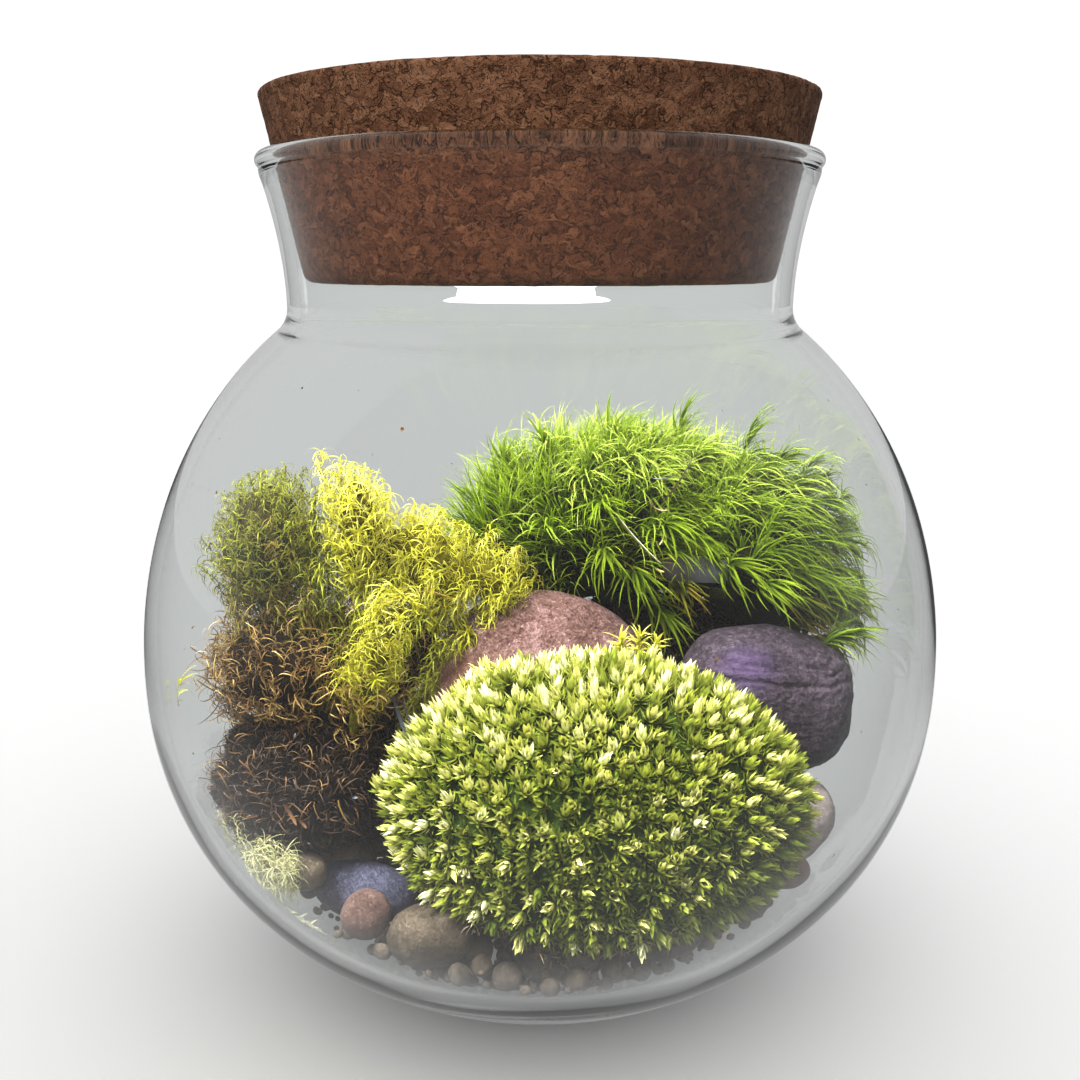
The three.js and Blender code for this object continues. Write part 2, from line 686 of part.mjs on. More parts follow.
function mossClumps(pebbles) {
  const group = new THREE.Group();
  const draw = seeded(80);
  const hard = [...STONES, ...pebbles].map(({ body }) => body);
  const tools = hard.map((body) => body.solid(SEAT_GAP));
  addSolid(group, "cushion_moss_green", cutAll(cushionDome(), tools), 0x86a23c);
  addSolid(group, "cushion_moss_underside", cushionUnderside(tools), 0x6e5234);
  const wholeCushion = cushionShape(CUSHION_UNDERSIDE + 2);
  tools.push(wholeCushion.solid(SEAT_GAP));
  obstacles.push(...hard.map((body) => ({ node: "stones", body })));
  obstacles.push({ node: "cushion_moss_green", body: wholeCushion });
  obstacles.push(...CLUMPS.flatMap(({ name, lobes }) => lobes.map((body) => ({ node: name, body }))));
  for (const { name, lobes, colour, spikes = 0, needles } of CLUMPS) {
    const bodyOf = (lobe) => (spikes ? spikyLobe(name, lobe, lobes, spikes, draw) : lobe.solid());
    const grown = joinAll(lobes.map(bodyOf));
    const core = largestBody(cutAll(grown.intersect(cavity), tools));
    const spray = needles ? growNeedles({ node: name, lobes, ...needles }) : [];
    addSolid(group, name, largestBody(joinAll([core, ...spray])), colour);
    tools.push(...lobes.map((lobe) => lobe.solid(SEAT_GAP)));
  }
  return group;
}

// ---- The whole terrarium -----------------------------------------------------------------------

function namedMesh(name, geometry, material) {
  const mesh = new THREE.Mesh(geometry, material);
  mesh.name = name;
  return mesh;
}

const terrarium = new THREE.Group();
const glass = finish(0xd6e0dc, 0.05);
glass.transparent = true;
glass.opacity = 0.3;
terrarium.add(namedMesh("jar_glass", jarGeometry(), glass));
terrarium.add(namedMesh("cork_stopper", corkGeometry(), finish(0x8f6039, 0.9)));
for (const { name, body, material } of STONES) terrarium.add(body.mesh(name, material));
const pebbles = pebbleBed();
pebbles.forEach(({ body, colour }, index) => {
  const label = String(index + 1).padStart(2, "0");
  terrarium.add(body.mesh("pebble_" + label, finish(colour, 0.75)));
});
terrarium.add(mossClumps(pebbles));

export default terrarium;
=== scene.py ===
# %% [markdown]
# # A round glass terrarium
# A blown jar with a cork, three stones and a bed of pebbles, and four kinds of moss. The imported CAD
# model gives every place and size. This lesson dresses it: the jar and the stones get finer, rounder
# meshes, and each clump of moss grows thousands of real leaves out of its plain solid.

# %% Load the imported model
import json
import math

import bmesh
import bpy
import numpy as np
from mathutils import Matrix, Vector, noise
from mathutils.bvhtree import BVHTree

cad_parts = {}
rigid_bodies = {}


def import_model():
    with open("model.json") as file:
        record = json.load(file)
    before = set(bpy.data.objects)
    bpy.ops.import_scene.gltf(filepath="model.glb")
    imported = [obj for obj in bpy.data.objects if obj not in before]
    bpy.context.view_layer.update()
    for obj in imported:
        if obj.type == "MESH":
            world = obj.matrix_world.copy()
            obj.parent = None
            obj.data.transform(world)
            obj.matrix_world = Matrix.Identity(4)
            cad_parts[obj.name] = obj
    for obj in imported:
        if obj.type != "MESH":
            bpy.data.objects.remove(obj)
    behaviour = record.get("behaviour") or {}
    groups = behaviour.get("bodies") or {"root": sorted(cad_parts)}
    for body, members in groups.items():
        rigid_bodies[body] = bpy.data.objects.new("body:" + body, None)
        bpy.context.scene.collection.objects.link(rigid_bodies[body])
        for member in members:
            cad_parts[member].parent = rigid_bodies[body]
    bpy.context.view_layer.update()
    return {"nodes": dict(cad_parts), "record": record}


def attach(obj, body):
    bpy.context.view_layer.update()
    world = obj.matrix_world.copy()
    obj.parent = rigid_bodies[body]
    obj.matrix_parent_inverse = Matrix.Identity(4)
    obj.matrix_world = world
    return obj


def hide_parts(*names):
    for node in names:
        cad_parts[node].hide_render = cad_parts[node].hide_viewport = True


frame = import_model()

scene = bpy.context.scene
MM = 0.001  # every length in this lesson is in millimetres, and Blender's are metres

# %% [markdown]
# ## Camera
# The photograph looks a little down on the jar from close by. The lens and the height follow from the
# ellipses of the jar's lip and of the cork's rim, which show how far the camera looks down.

# %% Camera
FOCAL_LENGTH, SENSOR = 40.55, 36
BACK, HEIGHT = 246.8, 144.6  # how far in front of the jar's axis the camera is, and how high
TILT = 13.06  # degrees by which it looks down
camera_data = bpy.data.cameras.new("camera")
camera_data.lens = FOCAL_LENGTH
camera_data.sensor_width = SENSOR
camera = bpy.data.objects.new("camera", camera_data)
camera.location = (0, -BACK * MM, HEIGHT * MM)
camera.rotation_euler = (math.radians(90 - TILT), 0, 0)
scene.collection.objects.link(camera)
scene.camera = camera
print("camera looks down by", round(90 - math.degrees(camera.rotation_euler.x), 2), "degrees")

# %% [markdown]
# ## Shader maths that reads like arithmetic
# A material is a graph of nodes. Written out link by link it is hard to read, so a small class wraps
# one socket and takes part in Python sums. Every other node comes from one function, which sets the
# node's settings before its sockets, because a setting can change which sockets there are.


# %% A socket that takes part in sums
class Wire:
    """One output socket of a material's nodes."""

    def __init__(self, socket):
        self.socket = socket

    def maths(self, operation, first, second):
        tree = self.socket.id_data
        return add_node(tree, "ShaderNodeMath", {"operation": operation}, {0: first, 1: second})

    def __add__(self, other):
        return self.maths("ADD", self, other)

    def __radd__(self, other):
        return self.maths("ADD", other, self)

    def __sub__(self, other):
        return self.maths("SUBTRACT", self, other)

    def __rsub__(self, other):
        return self.maths("SUBTRACT", other, self)

    def __mul__(self, other):
        return self.maths("MULTIPLY", self, other)

    def __rmul__(self, other):
        return self.maths("MULTIPLY", other, self)

    def __abs__(self):
        return add_node(self.socket.id_data, "ShaderNodeMath", {"operation": "ABSOLUTE"}, {0: self})

    def __getitem__(self, name):
        return Wire(self.socket.node.outputs[name])


def add_node(tree, kind, settings=None, sockets=None):
    """Adds a node: its settings first, then the values or links of its sockets."""
    node = tree.nodes.new(kind)
    for name, value in (settings or {}).items():
        if name == "stops":
            set_stops(node.color_ramp, value)
        else:
            setattr(node, name, value)
    for name, value in (sockets or {}).items():
        if isinstance(value, Wire):
            tree.links.new(value.socket, node.inputs[name])
        else:
            node.inputs[name].default_value = value
    return Wire(next(output for output in node.outputs if output.enabled))


def set_stops(ramp, stops):
    """Fills a colour ramp with (place, colour) pairs."""
    while len(ramp.elements) < len(stops):
        ramp.elements.new(0.5)
    for element, (place, colour) in zip(ramp.elements, stops):
        element.position = place
        element.color = colour


# %% [markdown]
# ## Colours and patterns
# Colours are easiest to judge as the 0 to 255 values of a screen, but a shader reckons in light, so
# they are converted once. Patterns are read in the object's own coordinates, in millimetres.


# %% Colour and pattern helpers
def rgb(red, green, blue):
    """A screen colour as the linear colour that a shader needs."""
    def linear(value):
        value /= 255
        return value / 12.92 if value <= 0.04045 else ((value + 0.055) / 1.055) ** 2.4
    return (linear(red), linear(green), linear(blue), 1)


def new_finish(name):
    """An empty material with its tree, its Principled shader and its surface coordinates in millimetres."""
    material = bpy.data.materials.new(name)
    material.use_nodes = True
    tree = material.node_tree
    place = add_node(tree, "ShaderNodeTexCoord")["Object"]
    place = add_node(tree, "ShaderNodeVectorMath", {"operation": "SCALE"}, {0: place, "Scale": 1 / MM})
    return material, tree, tree.nodes["Principled BSDF"], place


def feed(tree, node, **sockets):
    """Sets sockets of a node by name, with _ for a space."""
    for name, value in sockets.items():
        socket = node.inputs[name.replace("_", " ")]
        if isinstance(value, Wire):
            tree.links.new(value.socket, socket)
        else:
            socket.default_value = value


def grain(tree, place, size, detail, roughness=0.55):
    """Cloudy noise from 0 to 1 whose blotches are about size millimetres across."""
    sockets = {"Vector": place, "Scale": 1 / size, "Detail": detail, "Roughness": roughness}
    return add_node(tree, "ShaderNodeTexNoise", {}, sockets)


def ramp(tree, value, *stops):
    """A colour for each value, read from (place, colour) stops."""
    return add_node(tree, "ShaderNodeValToRGB", {"stops": stops}, {0: value})


def between(tree, value, low, high):
    """0 below low, 1 above high, and a smooth rise in between."""
    settings = {"interpolation_type": "SMOOTHSTEP"}
    return add_node(tree, "ShaderNodeMapRange", settings, {0: value, 1: low, 2: high})


def mixed(tree, first, second, share, how="MIX"):
    """Two colours mixed by a share."""
    settings = {"data_type": "RGBA", "blend_type": how}
    return add_node(tree, "ShaderNodeMix", settings, {0: share, 6: first, 7: second})


def bump(tree, height, depth):
    """A normal that dents the surface by up to depth millimetres."""
    return add_node(tree, "ShaderNodeBump", {}, {"Height": height, "Distance": depth * MM})


def show(tree, kind, sockets):
    """Joins two shaders by a node and makes the result the material's surface."""
    both = add_node(tree, kind, {}, sockets)
    tree.links.new(both.socket, tree.nodes["Material Output"].inputs["Surface"])


# %% [markdown]
# ## Meshes from arrays
# Every new piece is made the same way: points in millimetres and faces go into a mesh, the mesh gets
# its finish, and the piece is tied to the frame. The jar's contents never move, so all pieces ride on
# the frame's single body.


# %% Mesh helpers
def new_piece(name, points, faces, finish, slot, nodes, uv=None):
    """Makes a smooth-shaded piece and ties it to the frame, where it takes the place of CAD nodes."""
    mesh = bpy.data.meshes.new(name)
    faces = faces.tolist() if isinstance(faces, np.ndarray) else faces
    mesh.from_pydata((np.asarray(points) * MM).tolist(), [], faces)
    mesh.polygons.foreach_set("use_smooth", np.ones(len(mesh.polygons), bool))
    if uv is not None:
        corners = np.empty(len(mesh.loops), np.int32)
        mesh.loops.foreach_get("vertex_index", corners)
        layer = mesh.uv_layers.new(name="OFBake")
        layer.data.foreach_set("uv", uv[corners].astype(np.float32).ravel())
    mesh.materials.append(finish)
    piece = bpy.data.objects.new(name, mesh)
    scene.collection.objects.link(piece)
    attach(piece, "root")
    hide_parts(*nodes)
    print(f"{name}: {len(mesh.polygons)} faces")
    return piece


def turned(profile, sides):
    """Points and faces of a profile of (radius, height) pairs, from axis to axis, turned round the axis."""
    turns = np.linspace(0, 2 * np.pi, sides, endpoint=False)
    circle = np.stack([np.cos(turns), np.sin(turns)], axis=1)
    rings = [np.column_stack([circle * radius, np.full(sides, height)]) for radius, height in profile[1:-1]]
    points = np.vstack([[[0, 0, profile[0][1]]], *rings, [[0, 0, profile[-1][1]]]])
    last = len(points) - 1
    faces = [(0, 1 + (side + 1) % sides, 1 + side) for side in range(sides)]
    for ring in range(len(rings) - 1):
        low, high = 1 + ring * sides, 1 + (ring + 1) * sides
        for side in range(sides):
            after = (side + 1) % sides
            faces.append((low + side, low + after, high + after, high + side))
    top = last - sides
    faces += [(top + side, top + (side + 1) % sides, last) for side in range(sides)]
    return points, faces


def curve(start, control, end, steps):
    """Points on a quadratic curve, without its start."""
    t = np.linspace(0, 1, steps + 1)[1:, None]
    start, control, end = map(np.array, (start, control, end))
    return ((1 - t) ** 2 * start + 2 * t * (1 - t) * control + t**2 * end).tolist()


# %% [markdown]
# ## The glass jar
# The jar is blown glass about 2.6 mm thick that gathers into a heavy base, with a rolled lip. The
# solid has flat sides, so the visible jar is turned again from the same curve in many fine steps.
# Blown glass is never quite even: shallow ripples, deeper at the base, make the streaks and bent
# reflections by which glass is known. They only press inwards, so that the jar keeps its size.

# %% Jar shape
BOWL_MIDDLE = 65.6  # height at which the bowl is widest
BOWL_RADIUS = 80
RISE, DROP, INNER_DROP = 83.7, 72.5, 68.5  # reach of the bowl's curve above and below its middle
WALL = 2.6
BOWL_FOOT, SHOULDER = 3, 131.5  # heights between which the outside follows the curve
FLOOR_EDGE, INNER_SHOULDER = 8.5, 130.5  # the same for the inside
INNER_FLOOR = 5
NECK_FOOT, NECK_TOP, NECK_RADIUS = 136, 159.6, 49.5
LIP, LIP_RADIUS, BEAD = 162.2, 52.6, 1.6  # the rolled lip's height, its reach and its own radius


def bowl_radius(height, radius, rise, drop, power=2.08):
    """Radius of the bowl's curve at a height."""
    height = np.asarray(height, float)
    share = np.abs(height - BOWL_MIDDLE) / np.where(height > BOWL_MIDDLE, rise, drop)
    return radius * np.clip(1 - share**power, 0, 1) ** (1 / power)


def outer_radius(height):
    return bowl_radius(height, BOWL_RADIUS, RISE, DROP)


def inner_radius(height):
    return bowl_radius(height, BOWL_RADIUS - WALL, RISE - WALL, INNER_DROP)


def flare_radius(height):
    return NECK_RADIUS + 0.0135 * np.maximum(0, np.asarray(height) - NECK_FOOT) ** 1.8


def curve_heights(low, high, count):
    """Heights along the bowl, closer together where the curve turns in."""
    first = -np.arcsin((BOWL_MIDDLE - low) / DROP)
    last = np.arcsin((high - BOWL_MIDDLE) / RISE)
    turns = np.linspace(first, last, count)
    return BOWL_MIDDLE + np.sin(turns) * np.where(turns < 0, DROP, RISE)


def jar_profile():
    """Half of the jar's section: under the base, up the outside, over the lip and down the inside."""
    outside = curve_heights(BOWL_FOOT, SHOULDER, 90)
    inside = curve_heights(FLOOR_EDGE, INNER_SHOULDER, 80)
    neck = np.linspace(NECK_FOOT, NECK_TOP, 14)
    bead = np.radians(np.linspace(-50, 180, 18))
    inner_neck = NECK_RADIUS - WALL
    points = [(0, 1.2), (8, 1.2), (16, 1.1), (21, 0.85), (24.5, 0.35), (26, 0), (33, 0)]
    points += curve((33, 0), (37.5, 0), (outer_radius(BOWL_FOOT), BOWL_FOOT), 8)
    points += [(outer_radius(z), z) for z in outside[1:]]
    points += curve((outer_radius(SHOULDER), SHOULDER), (49.3, 133.4), (NECK_RADIUS, NECK_FOOT), 5)
    points += [(flare_radius(z), z) for z in neck[1:]]
    points += [(LIP_RADIUS + BEAD * math.cos(a), LIP + BEAD * math.sin(a)) for a in bead]
    points += [(flare_radius(z) - WALL, z) for z in neck[::-1]]
    bowl_top = (inner_radius(INNER_SHOULDER), INNER_SHOULDER)
    points += curve((inner_neck, NECK_FOOT), (inner_neck, 132.6), bowl_top, 5)
    points += [(inner_radius(z), z) for z in inside[::-1][1:]]
    points += curve((inner_radius(FLOOR_EDGE), FLOOR_EDGE), (40, INNER_FLOOR), (32, INNER_FLOOR), 12)
    return points + [(radius, INNER_FLOOR) for radius in (20, 10, 0)]


def ripple(point, inside):
    """How deep the glass is pressed in at a point: slow hollows, and rings of ripples round the base."""
    x, y, z = point
    offset = 40 if inside else 0
    slow = noise.noise(Vector((x / 30, y / 30, z / 22 + offset)))
    rings = noise.noise(Vector((x / 26, y / 26, z / 1.6 + offset)))
    base = max(0, 1 - z / 17)
    return 0.10 * (slow + 1) + 0.26 * base * (rings + 1)


# %% Jar mesh
jar_points, jar_faces = turned(jar_profile(), 192)
for point in jar_points:
    reach = math.hypot(point[0], point[1])
    if reach > 34 and point[2] < 158:  # the standing ring and the lip stay even
        inside_face = reach < float(outer_radius(point[2])) - 0.5 * WALL
        point[:2] *= 1 - ripple(point, inside_face) / reach * (-1 if inside_face else 1)

# %% [markdown]
# ## Glass
# Clear glass bends what is behind it and mirrors what is in front, and this jar is a little grey and
# green, so the air inside looks darker than the white room. Light that falls in through bent glass is
# slow to reckon and leaves grain in the picture, so for rays that only ask whether a lamp is hidden
# the glass is plainly clear.


# %% Glass finish
def glass_finish():
    material, tree, shader, _ = new_finish("clear_glass")
    feed(tree, shader, Base_Color=(0.93, 0.95, 0.945, 1), Roughness=0.0, IOR=1.36, Transmission_Weight=1.0)
    feed(tree, shader, Specular_IOR_Level=0.15)
    clear = add_node(tree, "ShaderNodeBsdfTransparent", {}, {"Color": (0.96, 0.98, 0.97, 1)})
    shadow = add_node(tree, "ShaderNodeLightPath")["Is Shadow Ray"]
    show(tree, "ShaderNodeMixShader", {0: shadow, 1: Wire(shader.outputs["BSDF"]), 2: clear})
    return material


new_piece("jar", jar_points, jar_faces, glass_finish(), "glass", ["jar_glass"])

# %% [markdown]
# ## The cork
# The stopper is pressed from cork crumbs, so its side is a jumble of flakes with dark cracks between
# them and small pits where a crumb has fallen out. Larger cracks and pits are pressed into the mesh,
# and the finish draws the flakes, each with its own tone and its own direction of fine lines.


# %% Cork shape
CORK_FOOT, CORK_TOP = 140, 174.5
FOOT_ROUNDED, TOP_ROUNDED = 142, 173.4  # heights at which the rounding of the two edges begins
CORK_AT_LIP, TAPER = 50.65, 0.2145  # the cork's radius in the lip, and how much it gains in each mm
CORK_MIDDLE = np.array([0, 0, 157.0])
PIT_SEED = 1795554600  # places the pits; without a seed, noise_vector goes by the clock in each run


def cork_radius(height):
    return CORK_AT_LIP + TAPER * (height - LIP)


def cork_profile():
    under = np.linspace(0, cork_radius(CORK_FOOT) - 2, 40)
    side = np.linspace(FOOT_ROUNDED, TOP_ROUNDED, 60)
    top = cork_radius(CORK_TOP) - 1.1
    points = [(0, CORK_FOOT)] + [(radius, CORK_FOOT) for radius in under[1:]]
    foot_corner, top_corner = (cork_radius(CORK_FOOT), CORK_FOOT), (cork_radius(CORK_TOP), CORK_TOP)
    points += curve(points[-1], foot_corner, (cork_radius(FOOT_ROUNDED), FOOT_ROUNDED), 5)
    points += [(cork_radius(z), z) for z in side[1:]]
    points += curve((cork_radius(TOP_ROUNDED), TOP_ROUNDED), top_corner, (top, CORK_TOP), 4)
    return points + [(radius, CORK_TOP) for radius in np.linspace(top, 0, 50)[1:]]


def cork_dent(point):
    """How far the cork's skin is pressed in at a point, 0 to 0.6 mm."""
    place = Vector(point)
    warped = place + 1.6 * Vector(noise.noise_vector(place / 3))
    pit = max(0, noise.noise(warped / 1.9 + Vector((9, 0, 0))) - 0.4) * 2.2
    rough = 0.5 + 0.5 * noise.noise(place / 1.1)
    swell = 0.5 + 0.5 * noise.noise(place / 5)
    return 0.5 * pit + 0.14 * rough + 0.16 * swell


noise.seed_set(PIT_SEED)
cork_points, cork_faces = turned(cork_profile(), 320)
for point in cork_points:
    away = point - CORK_MIDDLE
    away[2] *= 2.4 if abs(away[2]) > 16 else 0  # the side is pressed in level, the ends mostly upright
    point -= away / np.linalg.norm(away) * cork_dent(point)


# %% Cork finish
def cork_finish():
    material, tree, shader, place = new_finish("pressed_cork")
    wander = add_node(tree, "ShaderNodeTexNoise", {}, {"Vector": place, "Scale": 0.4, "Detail": 3.0})["Color"]
    push = add_node(tree, "ShaderNodeVectorMath", {"operation": "SCALE"}, {0: wander, "Scale": 4.5})
    warped = add_node(tree, "ShaderNodeVectorMath", {"operation": "ADD"}, {0: place, 1: push})
    warped = add_node(tree, "ShaderNodeVectorMath", {"operation": "MULTIPLY"}, {0: warped, 1: (1, 1, 1.6)})
    tone = add_node(tree, "ShaderNodeTexVoronoi", {}, {"Vector": warped, "Scale": 0.42})["Color"]
    tone = add_node(tree, "ShaderNodeSeparateColor", {}, {0: tone})
    flakes = {"Vector": warped, "Scale": 0.42}
    edge = add_node(tree, "ShaderNodeTexVoronoi", {"feature": "DISTANCE_TO_EDGE"}, flakes)
    swirl = grain(tree, warped, 1.5, 3, 0.6)
    fine = grain(tree, warped, 0.6, 3, 0.6)
    crumbs = grain(tree, place, 0.35, 2, 0.6)
    broken = between(tree, grain(tree, place, 1.8, 2), 0.45, 0.6)
    crack = (1 - between(tree, edge, 0.0, 0.1)) * broken
    stroke = (1 - between(tree, abs(swirl - 0.5), 0.0, 0.03)) * between(tree, fine, 0.42, 0.55)
    nick = between(tree, fine, 0.62, 0.7)
    value = tone * 0.22 + swirl * 0.3 + fine * 0.28 + crumbs * 0.2
    colour = ramp(tree, value, (0.34, rgb(90, 58, 40)), (0.5, rgb(122, 83, 60)), (0.68, rgb(150, 108, 80)))
    colour = mixed(tree, colour, rgb(46, 27, 19), crack * 0.6 + stroke * 0.6 + nick * 0.35)
    level = add_node(tree, "ShaderNodeSeparateXYZ", {}, {0: place})["Z"]
    painted_light_below_lip = 1 - between(tree, level, 158, 165)  # painted light: below the lip, where the cork is seen through the glass, it is painted lighter and redder
    colour = mixed(tree, colour, (1.5, 1.12, 0.95, 1), painted_light_below_lip, "MULTIPLY")
    height = crumbs * 0.3 + swirl * 0.4 - (stroke + crack) * 0.6 - nick * 0.5
    feed(tree, shader, Base_Color=colour, Roughness=0.85, Normal=bump(tree, height, 0.55))
    feed(tree, shader, Specular_IOR_Level=0.25)
    return material


cork = new_piece("cork", cork_points, cork_faces, cork_finish(), "cork", ["cork_stopper"])

# %% [markdown]
# ## Stones and pebbles
# The stones are water-worn, so they are round with a fine tooth. Subdividing the plain solids rounds
# them, and then each is dented by noise: broad dents for the shape, fine ones for the tooth. The
# purple stone also has two cracks that run round it near the top, and two finer ones beside them.


# %% Rounding and denting a solid
def welded(node):
    """A copy of a CAD node's mesh with its corners joined, as a new mesh object for modifiers."""
    mesh = frame["nodes"][node].data.copy()
    shape = bmesh.new()
    shape.from_mesh(mesh)
    bmesh.ops.remove_doubles(shape, verts=shape.verts, dist=0.002 * MM)
    shape.to_mesh(mesh)
    shape.free()
    blank = bpy.data.objects.new(node + "_blank", mesh)
    scene.collection.objects.link(blank)
    return blank


def shaped(blank):
    """Points in mm, faces and normals of an object with its modifiers, after which the object is removed."""
    graph = bpy.context.evaluated_depsgraph_get()
    mesh = bpy.data.meshes.new_from_object(blank.evaluated_get(graph))
    points = np.empty(3 * len(mesh.vertices))
    normals = np.empty(3 * len(mesh.vertices))
    mesh.vertices.foreach_get("co", points)
    mesh.vertices.foreach_get("normal", normals)
    faces = [tuple(face.vertices) for face in mesh.polygons]
    bpy.data.objects.remove(blank)
    bpy.data.meshes.remove(mesh)
    return points.reshape(-1, 3) / MM, faces, normals.reshape(-1, 3)


def rounded(node, levels):
    blank = welded(node)
    blank.modifiers.new("rounding", "SUBSURF").levels = levels
    return shaped(blank)


def dented(points, normals, *waves):
    """Moves points along their normals by noise; each wave is a (size, depth) pair in mm."""
    moved = points.copy()
    for index, point in enumerate(points):
        place = Vector(point)
        depth = sum(depth * noise.noise(place / size + Vector((7.3 * size, 0, 0))) for size, depth in waves)
        moved[index] += normals[index] * depth
    return moved


# %% [markdown]
# Each stone's finish has three scales: a slow drift of tone, mottling of a few millimetres, and the
# specks of single mineral grains. The grains also sparkle a little, so they change the roughness.


# %% Stone finish
def stone_finish(name, dark, middle, light, speck, drift=16, mottle=3.0, tooth=0.22, painted_light_patch=None):
    material, tree, shader, place = new_finish(name)
    broad = grain(tree, place, drift, 2)
    patches = grain(tree, place, mottle, 5, 0.65)
    grains = grain(tree, place, 0.55, 3, 0.7)
    value = broad * 0.55 + patches * 0.5 + (grains - 0.5) * 0.6
    colour = ramp(tree, value, (0.36, dark), (0.52, middle), (0.68, light))
    sparkle = between(tree, grains, 0.62, 0.74)
    colour = mixed(tree, colour, speck, sparkle * 0.55)
    # A patch of painted light or shade: a tint mixed in, in mottled spots, near one place. The pink stone
    # gets a painted shadow this way, and the purple one a painted glint.
    if painted_light_patch:
        painted_patch_place, radius, tint = painted_light_patch
        away = add_node(tree, "ShaderNodeVectorMath", {"operation": "DISTANCE"}, {0: place, 1: painted_patch_place})
        near = 1 - between(tree, away["Value"], 0.3 * radius, radius)
        colour = mixed(tree, colour, tint, near * patches * 1.2)
    height = grains * 0.55 + patches * 0.45
    feed(tree, shader, Base_Color=colour, Roughness=0.62 - sparkle * 0.2, Normal=bump(tree, height, tooth))
    return material


# %% The three stones
points, faces, normals = rounded("stone_pink", 3)
# The pink stone gets a brown patch, darker than its pink, at its upper left: painted shadow of the curly
# moss.
pink_finish = stone_finish(
    "pink_stone", rgb(48, 31, 28), rgb(90, 65, 60), rgb(128, 102, 102), rgb(176, 150, 148),
    mottle=1.7, tooth=0.8, painted_light_patch=((-20, -6, 54), 15, rgb(84, 54, 38)),
)
points = dented(points, normals, (14, 0.5), (3, 0.12), (0.9, 0.05))
new_piece("pink_stone", points, faces, pink_finish, "stone_pink", ["stone_pink"])


CRACKS = (  # each one's height, slope, wander and width, and its share of the full depth
    (62.8, -0.05, 1.2, 0.6, 1),
    (59.6, -0.1, 1.6, 0.5, 1),
    (61.4, -0.06, 0.9, 0.35, 0.5),
    (64.2, -0.03, 0.7, 0.3, 0.4),
)


def crack_depth(point, height, slope, wander, width, share):
    """Depth of a crack that runs round a stone at about one height, in mm."""
    x, y, z = point
    level = height + slope * (x - 48) + wander * noise.noise(Vector((x / 7, y / 7, height)))
    worn = 0.55 + 0.45 * noise.noise(Vector((x / 9, y / 9, 3 + height)))
    return share * 0.8 * worn * math.exp(-(((z - level) / width) ** 2))


points, faces, normals = rounded("stone_purple", 4)
points = dented(points, normals, (11, 0.9), (3.5, 0.4), (1.1, 0.2))
for index, point in enumerate(points):
    if point[1] < 6:  # the cracks are in front
        points[index] -= normals[index] * sum(crack_depth(point, *crack) for crack in CRACKS)
# The purple stone gets a violet patch on its top front: a painted glint.
purple_finish = stone_finish(
    "purple_stone", rgb(24, 20, 23), rgb(43, 36, 42), rgb(72, 62, 70), rgb(108, 96, 108),
    mottle=1.5, tooth=0.7, painted_light_patch=((41, -12, 64), 11, rgb(72, 56, 86)),
)
new_piece("purple_stone", points, faces, purple_finish, "stone_purple", ["stone_purple"])

points, faces, normals = rounded("stone_wedge", 4)
points = dented(points, normals, (9, 0.6), (2.6, 0.2), (0.9, 0.08))
wedge_finish = stone_finish(
    "grey_brown_stone", rgb(70, 60, 58), rgb(108, 97, 94), rgb(140, 129, 126), rgb(180, 172, 170)
)
new_piece("wedge_stone", points, faces, wedge_finish, "stone_brown", ["stone_wedge"])

# %% [markdown]
# The pebbles come in four kinds. Each CAD pebble says by its material which kind it is.

# %% Pebbles
TONES = {  # dark, middle and light tone, and the specks
    "tan": (rgb(44, 36, 30), rgb(70, 60, 50), rgb(94, 82, 70), rgb(136, 122, 107)),
    "red": (rgb(50, 36, 33), rgb(77, 58, 53), rgb(99, 78, 72), rgb(136, 113, 106)),
    "grey": (rgb(32, 32, 40), rgb(52, 51, 64), rgb(80, 78, 96), rgb(150, 148, 166)),
    "dark": (rgb(36, 30, 26), rgb(62, 54, 48), rgb(88, 78, 70), rgb(124, 114, 106)),
}
pebble_finishes = {}
for kind, tones in TONES.items():
    rough = {"mottle": 1.4, "tooth": 0.6} if kind == "grey" else {}
    pebble_finishes["pebble_" + kind] = stone_finish(kind + "_pebble", *tones, **rough)
for row in frame["record"]["subparts"]:
    node, slot = row["node"], row["material_slot"]
    if not node.startswith("pebble_"):
        continue
    points, faces, normals = rounded(node, 3)
    points = dented(points, normals, (7, 0.35), (2.0, 0.12))
    new_piece(node + "_worn", points, faces, pebble_finishes[slot], slot, [node])

# %% [markdown]
# Between the pebbles lies grit. Many random places low in the jar are tried. The one with the most
# room gets a stone that just touches its nearest neighbour, and so on down to small grains, so every
# stone rests on something.

# %% Grit
MOST_GRAINS, LARGEST, SMALLEST = 4000, 4.0, 0.55  # how many at most, and their radius in mm
draw = np.random.default_rng(5)
around_points, around_faces = [], []
for node, obj in frame["nodes"].items():
    if node not in ("jar_glass", "cork_stopper"):
        used = len(around_points)
        around_faces += [[corner + used for corner in face.vertices] for face in obj.data.polygons]
        around_points += [obj.matrix_world @ corner.co / MM for corner in obj.data.vertices]
around = BVHTree.FromPolygons(around_points, around_faces)
places = draw.uniform((-60, -60, 6), (60, 60, 17), (9000, 3))
low_places = draw.uniform((-54, -54, 5.7), (54, 54, 8.5), (14000, 3))
places = np.vstack([places, low_places])
wall = inner_radius(np.maximum(places[:, 2], FLOOR_EDGE))
room = 0.85 * (wall - 0.3 - np.hypot(places[:, 0], places[:, 1]))
room = np.minimum(room, places[:, 2] - (INNER_FLOOR + 0.1))
for index, place in enumerate(places):
    spot, normal, _, gap = around.find_nearest(Vector(place))
    outside = (Vector(place) - spot).dot(normal) > 0
    room[index] = min(room[index], gap) if outside else 0
grains = []  # each is a place and a radius
while len(grains) < MOST_GRAINS:
    best = int(np.argmax(np.where(room < LARGEST, room, 0)))
    if room[best] < SMALLEST:
        break
    grains.append([*places[best], room[best]])
    room = np.minimum(room, np.linalg.norm(places - places[best], axis=1) - room[best])
grains = np.array(grains)


